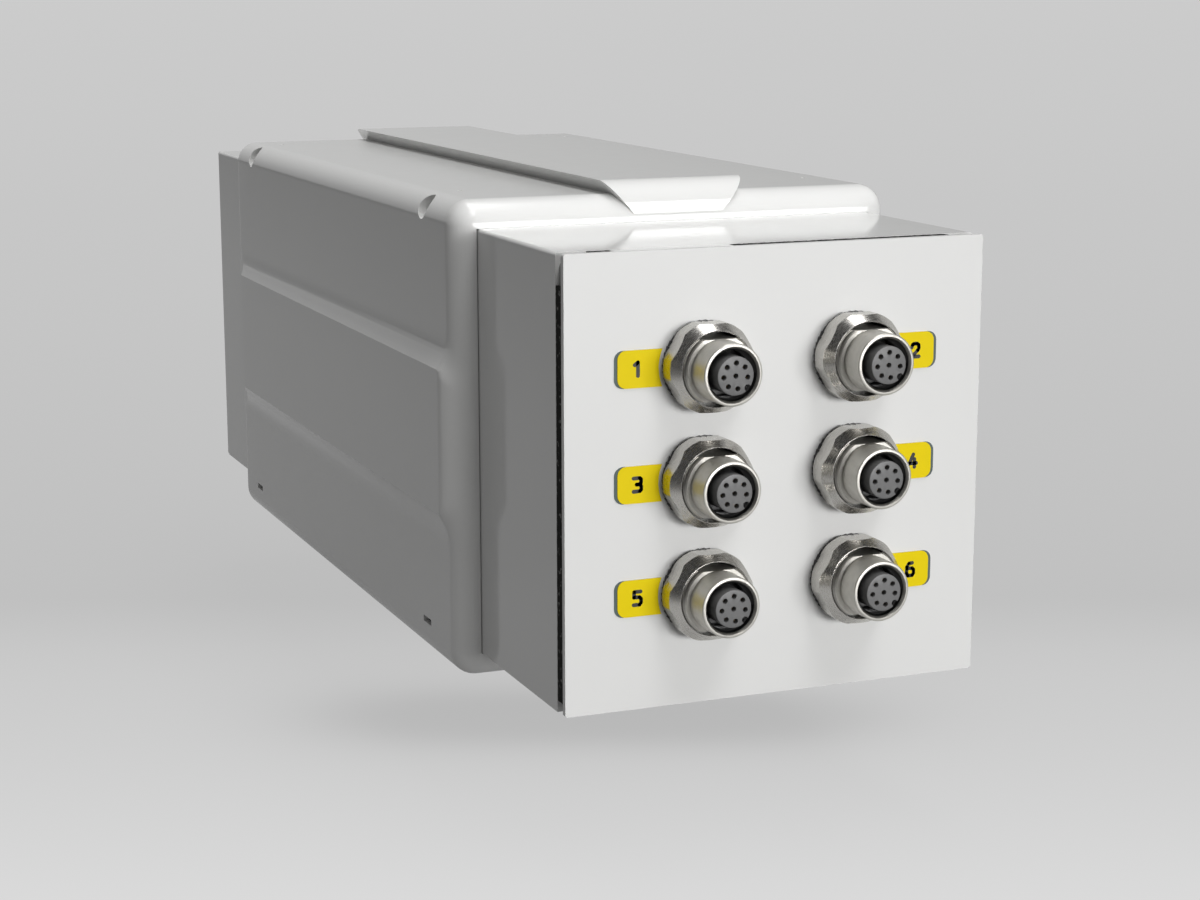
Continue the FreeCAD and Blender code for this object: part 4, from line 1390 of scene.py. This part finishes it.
@dataclass
class Rear:
    """The rear panel's fan, inlets and switch, and the fasteners."""

    palette: Palette
    growers: Growers
    skin: Skin
    head_radius: float = 2.8
    head_height: float = 1.8
    shank_radius: float = 1.5
    recess_width: float = 0.75
    recess_reach: float = 1.75
    recess_depth: float = 1.1

    def screw(self, length: float) -> bpy.types.Object:
        """A pan-head screw with a cross recess, whose head stands on the plane Y = 0 and points to +Y.

        Args:
            length: the shank's length in millimetres.

        Returns:
            The new object.
        """
        head, top, steel = self.head_radius, self.head_height, self.palette.steel
        shank = self.shank_radius
        turns = [math.radians(15 * k) for k in range(6)]
        crown = [(head * math.cos(turn), top * (0.45 + 0.55 * math.sin(turn))) for turn in turns]
        outline = [
            (0, -length), (shank - 0.4, -length), (shank, -length + 0.5), (shank, 0), (head - 0.1, 0),
            (head, 0.1), *crown, (0, top),
        ]
        screw = lathe("screw", outline, steel, 40)
        slots = []
        for turn in (45, 135):
            wide, reach = self.recess_width / 2, self.recess_reach
            bar = rectangle(-reach, reach, -wide, wide)
            slot = prism("slot", bar, top - self.recess_depth, top + 1, steel)
            slot.data.transform(Matrix.Rotation(math.radians(turn), 4, "Y"))
            slots.append(slot)
        return soften(carve(screw, slots), 30.0)

    def screws(self, node: str, length: float) -> None:
        """Sets detailed screws where a node's plain ones are.

        Args:
            node: the node of four screws.
            length: the shank's length in millimetres.
        """
        low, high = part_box(node)
        head = self.head_radius * MM
        top = high[1] - self.head_height * MM
        columns, rows = [(low[k] + head, high[k] - head) for k in (0, 2)]
        places = [Vector((x, top, z)) for x in columns for z in rows]
        piece = self.growers.spread(f"{node}_piece", self.screw(length), places, self.palette.steel)
        hand_in(piece, Body.UNIT, Slot.STEEL, node)

    def build(self) -> None:
        """Dresses the pieces at the rear."""
        black = self.palette.black
        for node in ("fan_frame", "mains_inlet", "switch_frame", "data_socket"):
            self.skin.over(node, black, Body.UNIT, Slot.BLACK)
        self.skin.over("fan_rotor", black, Body.FAN, Slot.BLACK)
        self.skin.over("rocker", self.palette.gloss, Body.ROCKER, Slot.BLACK)
        self.skin.over("inlet_pins", self.palette.contact, Body.UNIT, Slot.CONTACT)
        self.screws("rear_screws", 8.0)
        self.screws("fan_screws", 14.5)
        for node in ("base_screws", "plate_studs", "stud_nuts", "board_standoffs"):
            self.skin.over(node, self.palette.steel, Body.UNIT, Slot.STEEL)


@dataclass
class Electronics:
    """The boards and the supply inside the box."""

    palette: Palette
    skin: Skin

    def build(self) -> None:
        """Dresses the pieces inside."""
        for node in ("controller_board", "driver_modules"):
            self.skin.over(node, self.palette.board, Body.UNIT, Slot.BOARD)
        self.skin.over("power_supply", self.palette.cage, Body.UNIT, Slot.CAGE)
        self.skin.over("supply_core", self.palette.core, Body.UNIT, Slot.CORE)


# Studio


@dataclass
class Studio:
    """A pale floor, soft lamps and the photograph's camera."""

    camera_place: tuple[float, float, float] = (-0.22764, -0.60845, 0.16428)
    yaw: float = -22.008
    pitch: float = 78.628
    roll: float = -0.096
    lens: float = 71.742
    floor_drop: float = 0.03
    floor_half: float = 80.0
    floor_near: float = 0.2
    floor_paint: float = 0.18
    floor_seen: float = 0.03
    ambient: float = 0.216
    seen: tuple[float, float] = (0.7, 0.6)
    # Painted shadow: a soft dark ellipse in the floor's glow under the unit's front, placed and sized in
    # slope and lean from the camera.
    painted_shadow_place: tuple[float, float] = (0.0, 0.32)
    painted_shadow_reach: tuple[float, float] = (0.124, 0.014)
    painted_shadow_depth: float = 0.1
    pale_side: tuple[float, float, float] = (-0.45, 0.89, 0.0)
    pale_turn: tuple[float, float] = (0.3, 0.95)
    mirrored: tuple[float, float] = (0.06, 0.6)
    glow: tuple[Point, ...] = (
        (0.0, 0.6), (0.0205, 0.59), (0.053, 0.575), (0.095, 0.552), (0.18, 0.527), (0.223, 0.515),
        (0.267, 0.503), (0.29, 0.553), (0.303, 0.57), (0.328, 0.591), (0.344, 0.607), (0.363, 0.627),
        (0.4, 0.668), (0.46, 0.69),
    )
    # The glow level against which the painted shadow's depth is taken.
    painted_shadow_base: float = 0.55
    front_slopes: Point = (0.46, 0.8)
    front_shares: Point = (0.55, 0.08)
    left_leans: Point = (-0.9, -0.4)
    left_shares: Point = (0.15, 1.0)
    horizon: float = 0.01

    def camera(self) -> None:
        """Sets up the camera."""
        data = bpy.data.cameras.new("camera")
        data.sensor_width = 36.0
        data.lens = self.lens
        camera = bpy.data.objects.new("camera", data)
        stand = Matrix.Translation(self.camera_place)
        for angle, axis in ((self.yaw, "Z"), (self.pitch, "X"), (self.roll, "Z")):
            stand = stand @ Matrix.Rotation(math.radians(angle), 4, axis)
        camera.matrix_world = stand
        bpy.context.collection.objects.link(camera)
        bpy.context.scene.camera = camera

    def lamp(
        self, name: str, place: Sequence[float], target: Sequence[float], size: Point, power: float,
    ) -> None:
        """Adds a rectangular soft lamp.

        Args:
            name: its name.
            place: where it stands, in metres.
            target: where it points.
            size: its width and height in metres.
            power: its power in watts.
        """
        data = bpy.data.lights.new(name, "AREA")
        data.shape = "RECTANGLE"
        data.size, data.size_y = size
        data.energy = power
        lamp = bpy.data.objects.new(name, data)
        way = Vector(target) - Vector(place)
        lamp.matrix_world = Matrix.Translation(place) @ way.to_track_quat("-Z", "Y").to_matrix().to_4x4()
        bpy.context.collection.objects.link(lamp)

    def ahead(self) -> tuple[float, float, float]:
        """The level direction in which the camera looks."""
        heading = math.radians(-self.yaw)
        return math.sin(heading), math.cos(heading), 0.0

    def world(self) -> None:
        """Lights the scene evenly, and shows mirrors a pale wall behind and a dim room in front."""
        world = bpy.data.worlds.new("studio")
        world.use_nodes = True
        bpy.context.scene.world = world
        nodes = Nodes(world.node_tree)
        nodes.tree.nodes.clear()
        path = nodes.make("ShaderNodeLightPath").outputs
        way = nodes.make("ShaderNodeTexCoord").outputs["Generated"]
        side = nodes.vector("DOT_PRODUCT", way, self.pale_side)
        ahead = nodes.vector("DOT_PRODUCT", way, self.ahead())
        even = (*[self.ambient] * 3, 1)
        mirrored = nodes.mapped(side, self.pale_turn, self.mirrored)
        beyond = nodes.mapped(ahead, (-self.horizon, self.horizon), self.seen)
        colours = (even, mirrored, beyond)
        lights = [nodes.make("ShaderNodeBackground", Color=colour).outputs[0] for colour in colours]
        lit = nodes.make("ShaderNodeMixShader")
        nodes.feed(lit, path["Is Glossy Ray"], lights[0], lights[1])
        shown = nodes.make("ShaderNodeMixShader")
        nodes.feed(shown, path["Is Camera Ray"], lit.outputs[0], lights[2])
        nodes.feed(nodes.make("ShaderNodeOutputWorld"), shown.outputs[0])

    def floor(self) -> None:
        """Adds the floor: its glow is for the camera and mirrors and carries a painted shadow under the
        unit's front, and its paint takes the cast shadow.
        """
        bm = bmesh.new()
        bmesh.ops.create_grid(bm, x_segments=1, y_segments=1, size=self.floor_half)
        bmesh.ops.translate(bm, verts=bm.verts, vec=(0, 0, -self.floor_drop))
        sheet = Sheet("floor paint")
        x, y, z = self.camera_place
        ahead = Vector(self.ahead())
        from_camera = sheet.vector("SUBTRACT", sheet.coords, (x, y, 0))
        along = sheet.vector("DOT_PRODUCT", from_camera, tuple(ahead))
        across = sheet.vector("DOT_PRODUCT", from_camera, (ahead.y, -ahead.x, 0))
        away = sheet.maths("MAXIMUM", along, self.floor_near)
        slope = sheet.maths("DIVIDE", z + self.floor_drop, away)
        lean = sheet.maths("DIVIDE", across, away)
        glow = sheet.ramp(slope, [(place, (level,) * 3) for place, level in self.glow])
        front = sheet.mapped(slope, self.front_slopes, self.front_shares)
        left = sheet.mapped(lean, self.left_leans, self.left_shares)
        path = sheet.add("LightPath").outputs
        share = sheet.maths("MULTIPLY", path["Is Glossy Ray"], sheet.maths("MULTIPLY", front, left))
        strength = sheet.maths("ADD", path["Is Camera Ray"], share)
        seen = sheet.mapped(path["Is Camera Ray"], (0.0, 1.0), (self.floor_paint, self.floor_seen))
        paint = sheet.add("BsdfDiffuse", Color=seen)
        # Painted shadow: the floor's glow is darkened in a soft ellipse beneath the unit's front.
        spread = [
            sheet.maths("DIVIDE", sheet.maths("SUBTRACT", value, place), reach)
            for value, place, reach in zip((lean, slope), self.painted_shadow_place, self.painted_shadow_reach)
        ]
        far = sheet.maths("ADD", sheet.maths("POWER", spread[0], 4.0), sheet.maths("POWER", spread[1], 2.0))
        fall = sheet.maths("ADD", sheet.maths("MULTIPLY", far, far), 1.0)
        painted_shadow = sheet.maths("DIVIDE", self.painted_shadow_depth, fall)
        lit = sheet.maths("SUBTRACT", 1.0, sheet.maths("DIVIDE", painted_shadow, self.painted_shadow_base))
        light = sheet.add("Emission", Color=glow, Strength=sheet.maths("MULTIPLY", strength, lit))
        both = sheet.feed(sheet.add("AddShader"), paint.outputs[0], light.outputs[0])
        sheet.feed(sheet.output, both.outputs[0])
        from_bmesh("floor", bm, sheet.material)

    def build(self) -> None:
        """Sets up the whole studio."""
        bpy.context.scene.view_settings.view_transform = "Standard"
        self.camera()
        self.world()
        self.floor()
        self.lamp("ceiling", (0.45, -0.9, 3.2), (0.45, -0.9, 0.0), (1.2, 4.4), 90.0)
        self.lamp("front", (1.0, -3.9, 0.42), (0.0, 0.0, 0.05), (2.0, 0.9), 102.0)


def main() -> None:
    """Builds the unit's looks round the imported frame."""
    logging.basicConfig(level=logging.INFO, format="%(name)s: %(message)s")
    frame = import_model()
    palette = Palette()
    growers = Growers()
    places = Places()
    skin = Skin(palette, frame["nodes"])
    Studio().build()
    Housing(palette, skin).build()
    Gap(palette).build()
    Sockets(palette, growers, places).build()
    Labels(palette, growers, places).build()
    Rear(palette, growers, skin).build()
    Electronics(palette, skin).build()


if __name__ == "__main__":
    main()
